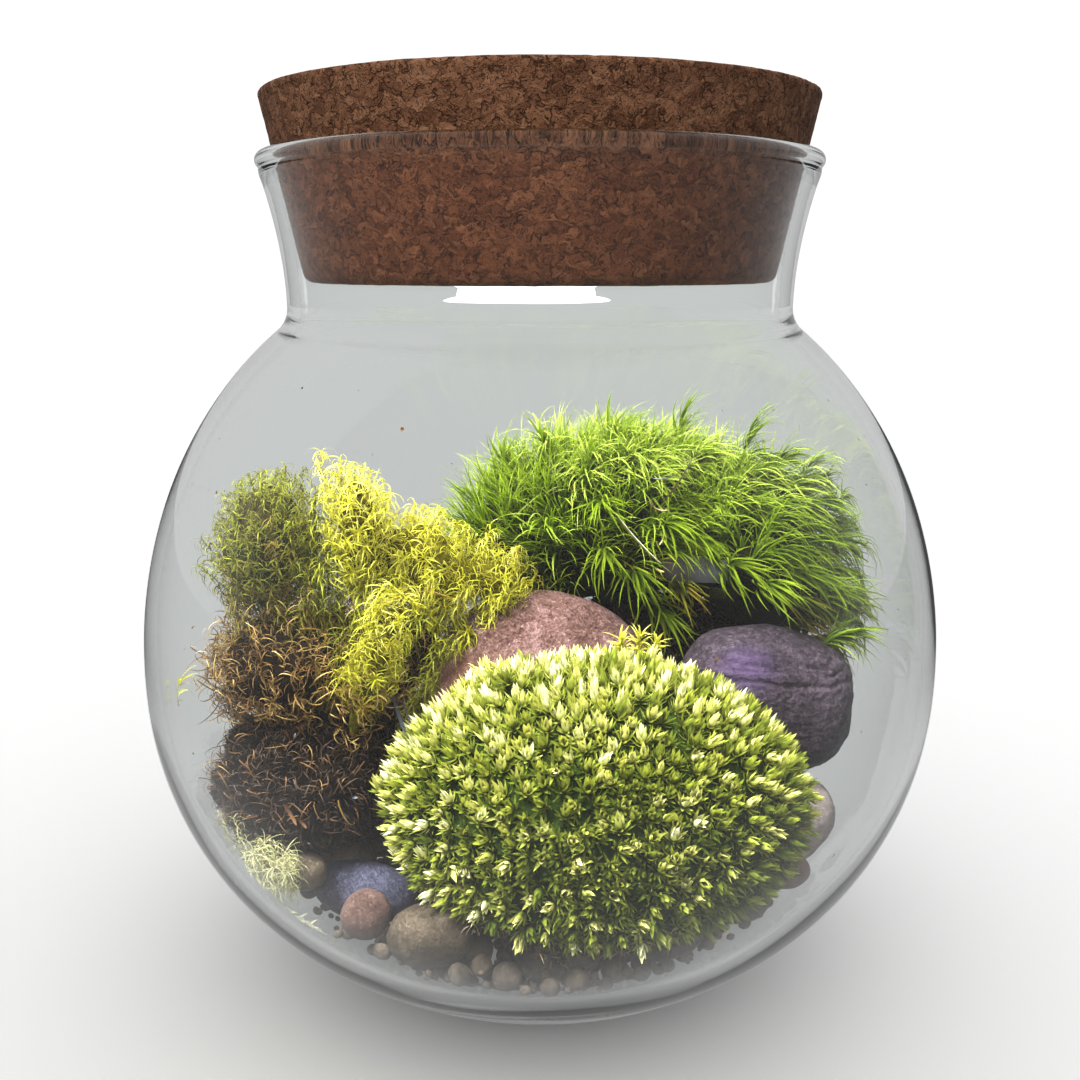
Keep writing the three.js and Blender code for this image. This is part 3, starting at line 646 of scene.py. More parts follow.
def ball_mesh(subdivisions):
    """Points and faces of a ball of radius 1."""
    ball = bmesh.new()
    bmesh.ops.create_icosphere(ball, subdivisions=subdivisions, radius=1)
    points = np.array([corner.co for corner in ball.verts])
    faces = np.array([[corner.index for corner in face.verts] for face in ball.faces])
    ball.free()
    return points, faces


coarse_ball, fine_ball = ball_mesh(1), ball_mesh(3)
for slot, node, first in (("pebble_dark", "pebble_05", 0), ("pebble_tan", "pebble_01", 1)):
    points, faces, used = [], [], 0
    for x, y, z, radius in grains[first::2]:
        ball_points, ball_faces = fine_ball if radius > 1.2 else coarse_ball
        squash = draw.uniform(0.7, 1.0, 3)
        turned_ball = ball_points * squash @ np.linalg.qr(draw.normal(size=(3, 3)))[0]
        dents = [1 - 0.1 * (1 + noise.noise(Vector(p) * 1.9 + Vector((x, y, z)))) for p in turned_ball]
        faces.append(ball_faces + used)
        used += len(ball_points)
        points.append(turned_ball * np.array(dents)[:, None] * radius + [x, y, z])
    new_piece(slot + "_grit", np.vstack(points), np.vstack(faces), pebble_finishes[slot], slot, [node])
print("grains:", len(grains))

# %% [markdown]
# ## Leaves
# A moss leaf is a narrow blade, folded along its middle like a boat, that bends as it grows. All the
# leaves of a clump are worked out at once as rows of arrays: a root, the direction in which the leaf
# starts, the direction towards which it bends, its length, width and bend, and its tint. The tint and
# the place along the leaf become the leaf's two map coordinates, so that one finish can colour every
# leaf from dark at its root to pale at its tip.


# %% Bent, folded leaves
UP = np.array([0, 0, 1.0])
BROAD = ([0, 0.25, 0.6, 1], [0.7, 1, 0.7, 0.02])  # width along a leaf, as shares
GRASSY = ([0, 0.15, 0.6, 1], [0.8, 1, 0.62, 0.05])
HAIR = ([0, 0.2, 0.7, 1], [0.9, 1, 0.6, 0.1])


def unit(vectors):
    return vectors / np.maximum(np.linalg.norm(vectors, axis=-1, keepdims=True), 1e-9)


def square_to(axis, vectors):
    """The part of each vector square to an axis, one long."""
    return unit(vectors - axis * np.sum(axis * vectors, axis=-1, keepdims=True))


def leaves(root, along, towards, length, width, bend, tint, outline=GRASSY, steps=5, fold=0.45):
    """Points, faces and map coordinates of bent leaves, one for each row. Without fold they are flat."""
    count, stations = len(root), steps + 1
    t = np.linspace(0, 1, stations)
    along = unit(along)
    side = square_to(along, towards)
    across = np.cross(along, side)
    angle = bend[:, None] * t
    middle = (0.5 * (angle[:, 1:] + angle[:, :-1]))[..., None]
    heading = along[:, None] * np.cos(middle) + side[:, None] * np.sin(middle)
    strides = heading * (length / steps)[:, None, None]
    path = np.concatenate([root[:, None], root[:, None] + np.cumsum(strides, axis=1)], axis=1)
    inward = side[:, None] * np.cos(angle)[..., None] - along[:, None] * np.sin(angle)[..., None]
    half = 0.5 * width[:, None, None] * np.interp(t, *outline)[None, :, None]
    rows = [path + across[:, None] * half, path - across[:, None] * half]
    if fold:
        rows.insert(1, path - inward * half * fold)
    wide = len(rows)
    points = np.stack(rows, axis=2).reshape(-1, 3)
    first = (np.arange(count) * wide * stations)[:, None] + wide * np.arange(steps)[None, :]
    first = first.reshape(-1, 1)
    faces = np.vstack([first + [k, k + 1, k + 1 + wide, k + wide] for k in range(wide - 1)])
    uv = np.stack(np.broadcast_arrays(np.clip(tint, 0.01, 0.99)[:, None, None], t[None, :, None]), axis=-1)
    uv = np.repeat(uv, wide, axis=2).reshape(-1, 2)
    return points, faces, uv


def gathered(groups):
    """Several groups of points, faces and map coordinates as one."""
    offset, all_faces = 0, []
    for points, faces, _ in groups:
        all_faces.append(faces + offset)
        offset += len(points)
    return np.vstack([g[0] for g in groups]), np.vstack(all_faces), np.vstack([g[2] for g in groups])


def in_jar(points):
    """Draws points that would reach through the glass back to just inside it."""
    points = points.copy()
    points[:, 2] = np.maximum(points[:, 2], INNER_FLOOR + 0.4)
    reach = np.hypot(points[:, 0], points[:, 1])
    room = inner_radius(np.clip(points[:, 2], 8, 130)) - 0.7
    points[:, :2] *= np.minimum(1, room / np.maximum(reach, 1))[:, None]
    return points


def new_leaves(name, groups, finish, slot, nodes):
    points, faces, uv = gathered(groups)
    new_piece(name, in_jar(points), faces, finish, slot, nodes, uv)


# %% [markdown]
# ## Where the leaves grow
# Each clump's plain solid already has the form of the real clump. A voxel remesh melts its spikes into
# one smooth skin. Places are drawn at random over that skin, and a place too close to one that is
# taken is dropped, which gives the even, unordered spread of real shoots.


# %% Melting a solid and scattering over its skin
def melted(node, voxel, passes, shrink):
    """A clump's solid as one smooth skin of four-sided faces: points, faces and normals.
    voxel and shrink are in mm, and passes is how often the skin is smoothed."""
    blank = welded(node)
    melt = blank.modifiers.new("melt", "REMESH")
    melt.mode = "VOXEL"
    melt.voxel_size = voxel * MM
    smooth = blank.modifiers.new("smooth", "SMOOTH")
    smooth.iterations = passes
    points, faces, normals = shaped(blank)
    faces = np.array(faces)
    label, before = np.arange(len(points)), None
    while before is None or np.any(label != before):  # each face gives all its corners its lowest label
        before = label.copy()
        np.minimum.at(label, faces, label[faces].min(axis=1, keepdims=True))
    main = np.bincount(label).argmax()
    faces = faces[label[faces[:, 0]] == main]
    used, faces = np.unique(faces, return_inverse=True)
    return points[used] - normals[used] * shrink, faces.reshape(-1, 4), normals[used]


def scatter(skin, spacing, draw, keep=None, tries=8):
    """Places on a skin at least spacing apart, and the direction away from it at each."""
    points, faces, normals = skin
    corners = np.vstack([faces[:, [0, 1, 2]], faces[:, [0, 2, 3]]])
    a, b, c = (points[corners[:, k]] for k in range(3))
    area = np.linalg.norm(np.cross(b - a, c - a), axis=1)
    pick = draw.choice(len(area), int(0.5 * area.sum() / spacing**2 * tries), p=area / area.sum())
    share = draw.random((len(pick), 2))
    share[share.sum(axis=1) > 1] = 1 - share[share.sum(axis=1) > 1]
    weights = np.column_stack([1 - share.sum(axis=1), share])[..., None]
    place = np.sum(points[corners[pick]] * weights, axis=1)
    away = unit(np.sum(normals[corners[pick]] * weights, axis=1))
    if keep is not None:
        chosen = keep(place, away)
        place, away = place[chosen], away[chosen]
    taken, kept = {}, []
    for index, cell in enumerate(map(tuple, np.floor(place / spacing).astype(int))):
        near = [
            other
            for i in (-1, 0, 1) for j in (-1, 0, 1) for k in (-1, 0, 1)
            for other in taken.get((cell[0] + i, cell[1] + j, cell[2] + k), ())
        ]
        if all(np.sum((place[other] - place[index]) ** 2) >= spacing**2 for other in near):
            taken.setdefault(cell, []).append(index)
            kept.append(index)
    return place[kept], away[kept]


# %% [markdown]
# ## Leaf and soil finishes
# Light shines through a moss leaf, so each finish mixes in some translucent shader. The colour is read from
# the leaf's own map: one row of tints for the root and one for the tip. The soil finish also colours the dark
# cores under the leaves of the mosses, where it is painted shade.


# %% Leaf finish
def leaf_finish(name, root_stops, tip_stops, through, turn_at=(0.15, 0.8), glow=0.35, roughness=0.5):
    material, tree, shader, _ = new_finish(name)
    uv = add_node(tree, "ShaderNodeUVMap", {"uv_map": "OFBake"})
    spot = add_node(tree, "ShaderNodeSeparateXYZ", {}, {0: uv})
    tint, along = spot["X"], spot["Y"]
    at_root, at_tip = ramp(tree, tint, *root_stops), ramp(tree, tint, *tip_stops)
    colour = mixed(tree, at_root, at_tip, between(tree, along, *turn_at))
    feed(tree, shader, Base_Color=colour, Roughness=roughness, Specular_IOR_Level=0.25)
    through = add_node(tree, "ShaderNodeBsdfTranslucent", {}, {"Color": through})
    show(tree, "ShaderNodeMixShader", {0: glow, 1: Wire(shader.outputs["BSDF"]), 2: through})
    return material


def soil_and_core_finish(name, dark, middle, light, size=1.6):
    material, tree, shader, place = new_finish(name)
    crumbs = grain(tree, place, size, 6, 0.7)
    broad = grain(tree, place, 9, 2)
    colour = ramp(tree, crumbs * 0.7 + broad * 0.3, (0.38, dark), (0.55, middle), (0.7, light))
    feed(tree, shader, Base_Color=colour, Roughness=0.95, Normal=bump(tree, crumbs, 0.9))
    feed(tree, shader, Specular_IOR_Level=0.15)
    return material


# %% [markdown]
# ## The cushion
# The front cushion is a dome of small star-shaped shoots, set close together. Each shoot is a closed bud of
# short broad leaves over two rings of leaves that spread out. The shoots' tint differs at random, and they
# are painted paler, nearly cream, where they face the lamps, as painted light; lower down they stay green.

# %% Cushion shoots
draw = np.random.default_rng(11)
CUSHION_AXIS = np.array([0, -math.sin(math.radians(43)), math.cos(math.radians(43))])


def rings_of_leaves(place, axis, tint, draw, rings):
    """Rings of leaves round the axis of each shoot.
    A ring is (count, lean, rise, length, width, bend, shade)."""
    groups = []
    sideways = square_to(axis, draw.normal(size=axis.shape))
    other = np.cross(axis, sideways)
    for count, lean, rise, length, width, bend, shade in rings:
        shape = (len(place), count)
        share = np.arange(count) / count + draw.random((len(place), 1))
        turn = 2 * np.pi * share + draw.normal(0, 0.18, shape)
        lean = np.radians(lean) + draw.normal(0, 0.12, shape)
        radial = sideways[:, None] * np.cos(turn)[..., None] + other[:, None] * np.sin(turn)[..., None]
        along = axis[:, None] * np.cos(lean)[..., None] + radial * np.sin(lean)[..., None]
        root = place[:, None] + axis[:, None] * rise + radial * 0.15
        towards = np.broadcast_to(axis[:, None], along.shape)
        groups.append(
            leaves(
                root.reshape(-1, 3), along.reshape(-1, 3), towards.reshape(-1, 3),
                length * draw.uniform(0.8, 1.2, shape).ravel(), np.full(shape, width).ravel(),
                bend * draw.uniform(0.6, 1.4, shape).ravel(),
                (tint[:, None] * shade + draw.normal(0, 0.05, shape)).ravel(), BROAD, 4,
            )
        )
    return groups


cushion_skin = melted("cushion_moss_green", 0.9, 16, 1.8)
cushion_skin[0][:, 2] -= 0.07 * np.maximum(0, cushion_skin[0][:, 2] - 41)  # room for the buds on top


def above_felt(place, away):
    """Where the green part of the cushion ends and its brown underside begins."""
    x = place[:, 0] - 8
    edge = 25.5 + np.where(x < 0, 0.008, 0.005) * x**2
    return (away @ CUSHION_AXIS > 0.02) & (place[:, 2] > np.where(place[:, 1] < -30, edge, 0))


place, away = scatter(cushion_skin, 2.4, draw, above_felt)
axis = unit(away + 0.3 * UP + draw.normal(0, 0.17, away.shape))
# Painted light: the tint is paler on shoots that face up and to the left, towards the lamps, and on the left
# of the cushion, over a random spread.
pale = 0.40 + 0.28 * (away @ unit(np.array([-0.3, 0.2, 1.0]))) + draw.normal(0, 0.27, len(place))
pale = np.clip(pale - 0.004 * (place[:, 0] - 10), 0.05, 1)
cushion_finish = leaf_finish(
    "cushion_leaves",
    [(0, rgb(16, 22, 4)), (0.5, rgb(62, 76, 16)), (1, rgb(132, 140, 48))],
    [(0, rgb(66, 80, 24)), (0.35, rgb(154, 162, 56)), (0.65, rgb(236, 228, 136)), (1, rgb(254, 248, 206))],
    rgb(156, 160, 56),
    turn_at=(0.1, 0.65),
)
BUD_RINGS = [(5, 26, 0.8, 3.0, 1.3, 0.45, 1.0), (3, 10, 1.5, 2.9, 1.1, 0.1, 1.2)]
STAR_RINGS = [(7, 52, 0.4, 3.0, 0.8, 0.5, 0.55), (8, 76, 0.0, 2.8, 0.66, 0.6, 0.22)]
buds = rings_of_leaves(place, axis, pale, draw, BUD_RINGS)
stars = rings_of_leaves(place, axis, pale, draw, STAR_RINGS)
# The cushion's core is dark green, for the packed stems inside it and as painted shade in its depth.
cushion_stems_and_shade = soil_and_core_finish("cushion_inside", rgb(20, 26, 8), rgb(38, 50, 14), rgb(60, 74, 24))
CUSHION = ("moss_cushion", ["cushion_moss_green"])
new_piece("cushion_inside", in_jar(cushion_skin[0]), cushion_skin[1], cushion_stems_and_shade, *CUSHION)
new_leaves("cushion_buds", buds, cushion_finish, *CUSHION)
new_leaves("cushion_stars", stars, cushion_finish, *CUSHION)
print("cushion shoots:", len(place))

# %% [markdown]
# ## Felt and soil
# Under each clump is what it grows from: a mat of brown root hairs with bits of soil. The melted skin
# is dented into crumbs, and short fibres are laid over it at all angles. The cushion's felt also
# covers the lowest part of its green solid, where no shoots grow.


# %% Fibres over a skin
def fibres(skin, spacing, length, width, draw, flat=0.75, bend=1.4, low=0.0, high=1.0, keep=None,
           steps=4, least=0.2):
    """Bent fibres over a skin. They lie down by the share flat, bend by least of bend or more, and have
    tints from low to high."""
    place, away = scatter(skin, spacing, draw, keep, tries=4)
    loose = draw.normal(size=away.shape)
    along = unit(away * (1 - flat) + square_to(away, loose) * flat)
    count = len(place)
    return leaves(
        place - away * 0.2, along, draw.normal(size=away.shape) + away * 0.3,
        length * draw.uniform(0.5, 1.3, count), width * draw.uniform(0.7, 1.3, count),
        bend * draw.uniform(least, 1.3, count), draw.uniform(low, high, count), HAIR, steps, fold=0,
    )


def crumbly(skin, depth=0.6, size=2.2):
    points, faces, normals = skin
    return dented(points, normals, (size * 2.5, depth), (size, depth * 0.8)), faces, normals


felt_finish = leaf_finish(
    "root_felt",
    [(0, rgb(58, 42, 30)), (0.6, rgb(112, 88, 68)), (1, rgb(158, 134, 110))],
    [(0, rgb(74, 54, 38)), (0.6, rgb(134, 108, 84)), (1, rgb(190, 168, 142))],
    rgb(140, 112, 84),
    glow=0.15, roughness=0.8,
)
felt_soil = soil_and_core_finish("felt_inside", rgb(46, 34, 24), rgb(84, 64, 48), rgb(120, 98, 76))
skin = crumbly(melted("cushion_moss_underside", 0.9, 6, 0.8))
new_piece("felt_inside", in_jar(skin[0]), skin[1], felt_soil, "moss_felt", ["cushion_moss_underside"])
felt = [fibres(skin, 0.85, 2.6, 0.2, draw)]
felt.append(fibres(cushion_skin, 0.6, 2.6, 0.24, draw, flat=0.7, keep=lambda p, n: ~above_felt(p, n)))
new_leaves("felt_fibres", felt, felt_finish, "moss_felt", ["cushion_moss_underside"])

peat_finish = leaf_finish(
    "peat_fibres",
    [(0, rgb(16, 12, 10)), (0.6, rgb(44, 33, 25)), (1, rgb(88, 58, 34))],
    [(0, rgb(40, 34, 31)), (0.6, rgb(90, 74, 64)), (1, rgb(140, 104, 72))],
    rgb(52, 36, 24),
    glow=0.1, roughness=0.8,
)
peat_soil = soil_and_core_finish("peat_inside", rgb(8, 6, 6), rgb(18, 14, 12), rgb(34, 27, 22), 2.0)
for node, name in (("left_moss_peat", "left_peat"), ("back_moss_base", "back_peat")):
    skin = crumbly(melted(node, 1.0, 4, 1.0), 2.2, 2.6)
    new_piece(name + "_inside", in_jar(skin[0]), skin[1], peat_soil, "moss_soil", [node])
    short = fibres(skin, 0.85, 3.2, 0.2, draw, flat=0.35, bend=3.2, low=0, high=0.7, least=0.5)
    long = fibres(skin, 1.7, 6.0, 0.25, draw, flat=0.35, bend=3.8, low=0.2, high=1.0, steps=8, least=0.6)
    new_leaves(name + "_fibres", [short, long], peat_finish, "moss_soil", [node])

# %% [markdown]
# ## Leafy stems
# The two tall mosses carry their leaves all round a stem. A stem is a curve through three points. Its
# leaves leave it in a spiral, as they do in most plants, lean out from it, and then bend: away from
# the stem into hooks on the left, and all to one side on the right, like grass in the wind.

# %% Leaves round stems
GOLDEN = math.pi * (3 - math.sqrt(5))


def stem_leaves(stems, count, draw, lean, hook, sweep, length, width, bend, tint, start=0.1, loose=0.35,
                **shape):
    """Leaves round curved stems, whose three points are rows of an array (stems, 3, 3).
    hook is how much a leaf bends away from its stem, and sweep a direction to which all bend."""
    number = len(stems)
    t = start + (1 - start) * (np.arange(count) + draw.random((number, count))) / count
    t = t[..., None]
    p0, p1, p2 = (stems[:, None, k] for k in range(3))
    place = (1 - t) ** 2 * p0 + 2 * t * (1 - t) * p1 + t**2 * p2
    tangent = unit(2 * (1 - t) * (p1 - p0) + 2 * t * (p2 - p1))
    sideways = square_to(tangent, np.broadcast_to(draw.normal(size=(number, 1, 3)), tangent.shape))
    turn = (GOLDEN * np.arange(count) + 7 * draw.random((number, 1)))[..., None]
    radial = sideways * np.cos(turn) + np.cross(tangent, sideways) * np.sin(turn)
    angle = np.radians(lean[0] + (lean[1] - lean[0]) * t) + draw.normal(0, 0.15, t.shape)
    along = tangent * np.cos(angle) + radial * np.sin(angle)
    towards = hook * (radial - tangent) + sweep + draw.normal(0, loose, tangent.shape)
    flat = (number, count)
    return leaves(
        place.reshape(-1, 3), along.reshape(-1, 3), towards.reshape(-1, 3),
        (length * draw.uniform(0.65, 1.2, flat)).ravel(), (width * draw.uniform(0.8, 1.2, flat)).ravel(),
        (bend * draw.uniform(0.55, 1.3, flat)).ravel(),
        (tint[:, None] + draw.normal(0, 0.07, flat)).ravel(), **shape,
    )


# %% [markdown]
# ### The grassy moss at the back
# Its leaves are long and fine. On the left they stand up in close tufts, like a lawn. On the right
# the shoots are long plumes that are swept over, until the last of them lie out sideways.

# %% Back moss
draw = np.random.default_rng(23)
grass_finish = leaf_finish(
    "grassy_leaves",
    [(0, rgb(44, 32, 12)), (0.25, rgb(36, 46, 6)), (1, rgb(66, 88, 10))],
    [(0, rgb(146, 118, 46)), (0.25, rgb(98, 112, 28)), (0.7, rgb(128, 150, 30)), (1, rgb(182, 196, 84))],
    rgb(104, 128, 14),
    glow=0.42, roughness=0.38,
)
skin = melted("back_moss_green", 1.1, 20, 3.0)
RIGHT = np.array([1.0, 0, 0])


def grass_tint(place, away, draw):
    height = 0.56 + 0.2 * away[:, 2] + 0.027 * (place[:, 2] - 84)
    return np.clip(height + draw.normal(0, 0.12, len(place)), 0, 1)


def leafy(place, away):
    """Where leaves grow: not on the underside, nor round the two bare hollows above the stones."""
    hollow = np.linalg.norm((place - [37, 12, 65]) / [17, 14, 12], axis=1)
    second = np.linalg.norm((place - [16, 12, 70]) / [16, 13, 7], axis=1)
    return (away[:, 2] > -0.45) & (hollow > 1) & (second > 1)


def lawn_side(place, away):
    return leafy(place, away) & (place[:, 0] < 30 + draw.normal(0, 9, len(place)))


def plume_side(place, away):
    return leafy(place, away) & (place[:, 0] > 22 + draw.normal(0, 8, len(place)))


GRASS = ("moss_grass", ["back_moss_green"])
place, away = scatter(skin, 2.9, draw, lawn_side)
heading = 0.75 * away + 0.85 * UP + draw.normal(0, 0.16, away.shape)
heading = unit(heading + 0.008 * (place[:, :1] - 20) * RIGHT)
reach = draw.uniform(2.0, 5.0, (len(place), 1))
stems = np.stack([place - heading * 2, place, place + heading * reach], axis=1)
sweep = (0.4 * away - 0.5 * UP + 0.3 * RIGHT)[:, None]
lawn = stem_leaves(stems, 12, draw, (30, 9), 0.1, sweep, 11, 0.46, 0.8, grass_tint(place, away, draw))
# The core under the back moss is nearly black: painted shade for the deep gaps between the leaves.
grass_inside = soil_and_core_finish("grass_inside", rgb(12, 13, 6), rgb(28, 28, 12), rgb(50, 46, 22))
new_piece("back_moss_inside", in_jar(skin[0] - skin[2] * 1.5), skin[1], grass_inside, *GRASS)
new_leaves("back_moss_lawn", [lawn], grass_finish, *GRASS)
print("lawn tufts:", len(place))

place, away = scatter(skin, 5.0, draw, plume_side)
swept = np.clip((place[:, :1] - 10) / 45, 0.1, 1)
heading = unit(0.8 * away + 0.5 * UP + swept * [0.8, -0.15, 0] + draw.normal(0, 0.18, away.shape))
reach = draw.uniform(4.5, 9.5, (len(place), 1))
ends = place + heading * reach + swept * RIGHT * 2
stems = np.stack([place - heading * 3, place + heading * reach * 0.6, ends], axis=1)
stems[:, 2, 2] -= reach[:, 0] * 0.2  # the tips hang over a little
sweep = (swept * [1.3, -0.3, -0.3] + [0.1, -0.3, -0.6])[:, None]
plume = stem_leaves(stems, 34, draw, (50, 10), 0.1, sweep, 12, 0.62, 1.8, grass_tint(place, away, draw))
TALL = np.array([  # three points of each shoot that stands out of the clump
    [(33, 36, 92), (33, 36, 101), (33.5, 37, 107.5)],
    [(46, 32, 92), (47, 32, 100), (49, 33, 106)],
    [(50, 28, 88), (53, 29, 96), (56, 29, 101)],
    [(56, 24, 84), (60, 25, 92), (64, 25, 96)],
    [(60, 18, 74), (64, 19, 80), (67.5, 19, 85)],
    [(60, 12, 64), (65, 12, 68), (69.5, 11, 70)],
    [(58, 6, 60), (63, 5, 65), (67, 4, 66)],
    [(24, 32, 92), (25, 33, 98), (26, 33, 103)],
    [(6, 28, 88), (5, 29, 95), (3, 29, 100)],
    [(-4, 32, 86), (-6, 32, 93), (-8, 33, 98)],
], float)
sweep = np.array([0.8, -0.3, -0.25])
tint = np.full(len(TALL), 0.72)
tall = stem_leaves(TALL, 40, draw, (44, 8), 0.1, sweep, 11.5, 0.66, 1.3, tint, start=0.25)
new_leaves("back_moss_plumes", [plume, tall], grass_finish, *GRASS)
print("plumes:", len(place))

# %% [markdown]
# ### The curly moss on the left
# Here every leaf is a fine hook. The stems stand close together and end at the clump's outside, so
# the clump looks like so many woolly columns. Old growth low down is brown, and it turns olive and
# then bright yellow-green towards the light.

# %% Curly moss
HOOKED = {"outline": HAIR, "steps": 8, "fold": 0}  # fine and flat, with enough steps for a full hook


def above(height):
    """Keeps the places higher than a height."""
    return lambda place, away: place[:, 2] > height


def below(height):
    """Keeps the places lower than a height."""
    return lambda place, away: place[:, 2] < height


def facing(level):
    """Keeps the places whose skin doesn't face down more than a level, from -1 to 1."""
    return lambda place, away: away[:, 2] > level


def rising(tint, slope, height):
    """A tint that grows by slope in each mm above a height."""
    return lambda place: tint + slope * (place[:, 2] - height)


def curly(name, node, slot, finish, inside, spacing, tint_at, count=30, length=11, leaf=4.8, bend=3.9,
          width=0.3, core=2.2, keep=facing(-0.8)):
    """A clump of hooked leaves on close stems, over a core that lies core mm under its skin."""
    skin = melted(node, 1.1, 14, 0.8)
    deep = melted(node, 1.1, 60, 0.8)  # so many passes keep the core's thin parts from turning inside out
    place, away = scatter(skin, spacing, draw, keep)
    heading = unit(away + 0.9 * UP + draw.normal(0, 0.15, away.shape))
    elbow = place - heading * length * 0.35 + away
    stems = np.stack([place - heading * length, elbow, place + away * 1.2], axis=1)
    tint = np.clip(tint_at(place) + draw.normal(0, 0.1, len(place)), 0, 1)
    sweep = np.array([0.1, -0.25, -0.3])
    hooks = stem_leaves(
        stems, count, draw, (66, 34), 0.8, sweep, leaf, width, bend, tint, start=0.2, loose=0.9, **HOOKED,
    )
    new_piece(name + "_inside", in_jar(deep[0] - deep[2] * core), deep[1], inside, slot, [node])
    new_leaves(name + "_hooks", [hooks], finish, slot, [node])
    print(name, "stems:", len(place))


draw = np.random.default_rng(37)
curly_finish = leaf_finish(
    "curly_leaves",
    [(0, rgb(52, 34, 18)), (0.3, rgb(84, 66, 22)), (0.6, rgb(104, 100, 24)), (1, rgb(170, 170, 30))],
    [
        (0, rgb(128, 92, 50)), (0.28, rgb(160, 136, 62)), (0.45, rgb(146, 150, 56)),
        (0.75, rgb(216, 210, 78)), (1, rgb(248, 240, 140)),
    ],
    rgb(196, 186, 62), glow=0.42, roughness=0.45,
)
olive_finish = leaf_finish(
    "olive_leaves",
    [(0, rgb(52, 34, 18)), (0.3, rgb(80, 62, 24)), (0.6, rgb(78, 82, 24)), (1, rgb(150, 148, 36))],
    [
        (0, rgb(112, 80, 44)), (0.28, rgb(158, 134, 70)), (0.45, rgb(124, 130, 48)),
        (0.75, rgb(186, 184, 62)), (1, rgb(226, 220, 104)),
    ],
    rgb(112, 112, 34), glow=0.42, roughness=0.5,
)
brown_finish = leaf_finish(
    "brown_leaves",
    [(0, rgb(34, 22, 14)), (0.3, rgb(62, 44, 24)), (1, rgb(124, 98, 48))],
    [(0, rgb(78, 54, 34)), (0.25, rgb(122, 90, 54)), (0.6, rgb(184, 150, 92)), (1, rgb(214, 188, 120))],
    rgb(118, 86, 46), glow=0.3, roughness=0.5,
)
# The cores under the curly moss are darker than its leaves, the olive and brown ones nearly black: painted
# shade in the depth of the clumps.
curly_inside = soil_and_core_finish("curly_inside", rgb(48, 42, 10), rgb(88, 82, 20), rgb(130, 122, 34))
olive_inside = soil_and_core_finish("olive_inside", rgb(30, 26, 10), rgb(54, 50, 20), rgb(80, 74, 32))
brown_inside = soil_and_core_finish("brown_inside", rgb(10, 8, 6), rgb(24, 18, 13), rgb(44, 33, 22))
curly(
    "brown_moss", "left_moss_brown", "moss_dead", brown_finish, brown_inside, 3.4,
    rising(0.12, 0.014, 50), count=20, leaf=4.6,
)
curly(
    "olive_moss", "left_moss_olive", "moss_olive", olive_finish, olive_inside, 3.0,
    rising(0.46, 0.012, 88), count=36, leaf=4.0, width=0.26,
)
curly(
    "yellow_moss", "left_moss_yellow", "moss_yellow", curly_finish, curly_inside, 3.1,
    rising(0.72, 0.01, 82),
)
curly(
    "hooked_sprig", "left_moss_sprig", "moss_yellow", curly_finish, curly_inside, 3.0,
    rising(0.28, 0.034, 60), length=6, leaf=4.4, core=1.0, keep=above(60),
)

# %% [markdown]
# The outline of the left clump is made by single long shoots, so these are placed one by one: the
# olive ones stand in a row on the left, tan ones lean out over the brown growth, others fill the
# middle, the bright ones run along the ridge, and one stout shoot in front nods over to the right.
# Each row gives a shoot's root, its elbow, its tip and its tint. Last come loops of old growth, which
# lie over the brown moss, the sprig's foot and the peat.

# %% Single shoots of the curly moss
OLIVE_ROW = [
    ((-57, 3, 80), (-58, 3, 92), (-58, 2, 102), 0.45),
    ((-53, 4, 80), (-53, 4, 92), (-53.3, 4, 102.5), 0.48),
    ((-50, 4, 82), (-50, 4, 94), (-49.6, 4, 101.5), 0.52),
    ((-60, 0, 78), (-62, -1, 88), (-61.8, -2, 97), 0.42),
    ((-62, -2, 74), (-64, -3, 84), (-63.3, -4, 93), 0.4),
    ((-47, 0, 78), (-47, 2, 90), (-46.5, 2, 98), 0.62),
    ((-44, -2, 76), (-44, 0, 86), (-43.4, 0, 94), 0.72),
    ((-52, -6, 74), (-51, -9, 86), (-48, -8, 96), 0.5),
    ((-56, -8, 70), (-57, -12, 82), (-54.9, -12, 93), 0.42),
    ((-42, -3, 70), (-42, -5, 80), (-41, -4, 88.5), 0.7),
    ((-48, -9, 64), (-48, -13, 74), (-46, -12, 83), 0.4),
    ((-60, -10, 64), (-62, -12, 75), (-61, -11, 84), 0.35),
    ((-60, -2, 76), (-66, -1, 83), (-71, -1, 88), 0.6),
    ((-61, -3, 74), (-67, -3, 79), (-71.5, -3, 83), 0.55),
]
TAN_ROW = [
    ((-54, -6, 56), (-60, -8, 63), (-65, -8, 70), 0.28),
    ((-56, -2, 60), (-61, -3, 68), (-66, -3, 76), 0.32),
    ((-52, -8, 60), (-57, -11, 68), (-61, -11, 76), 0.32),
    ((-50, -10, 56), (-54, -13, 63), (-57, -14, 70), 0.26),
    ((-46, -12, 56), (-49, -15, 63), (-51, -16, 70), 0.24),
    ((-42, -12, 54), (-44, -16, 61), (-45, -17, 67), 0.26),
    ((-58, -4, 52), (-63, -6, 58), (-67, -7, 64), 0.2),
    ((-57, -8, 48), (-62, -11, 54), (-66, -12, 59), 0.14),
    ((-60, 0, 64), (-64, 0, 71), (-68, -1, 78), 0.34),
    ((-48, -8, 64), (-51, -12, 71), (-53, -13, 78), 0.36),
]
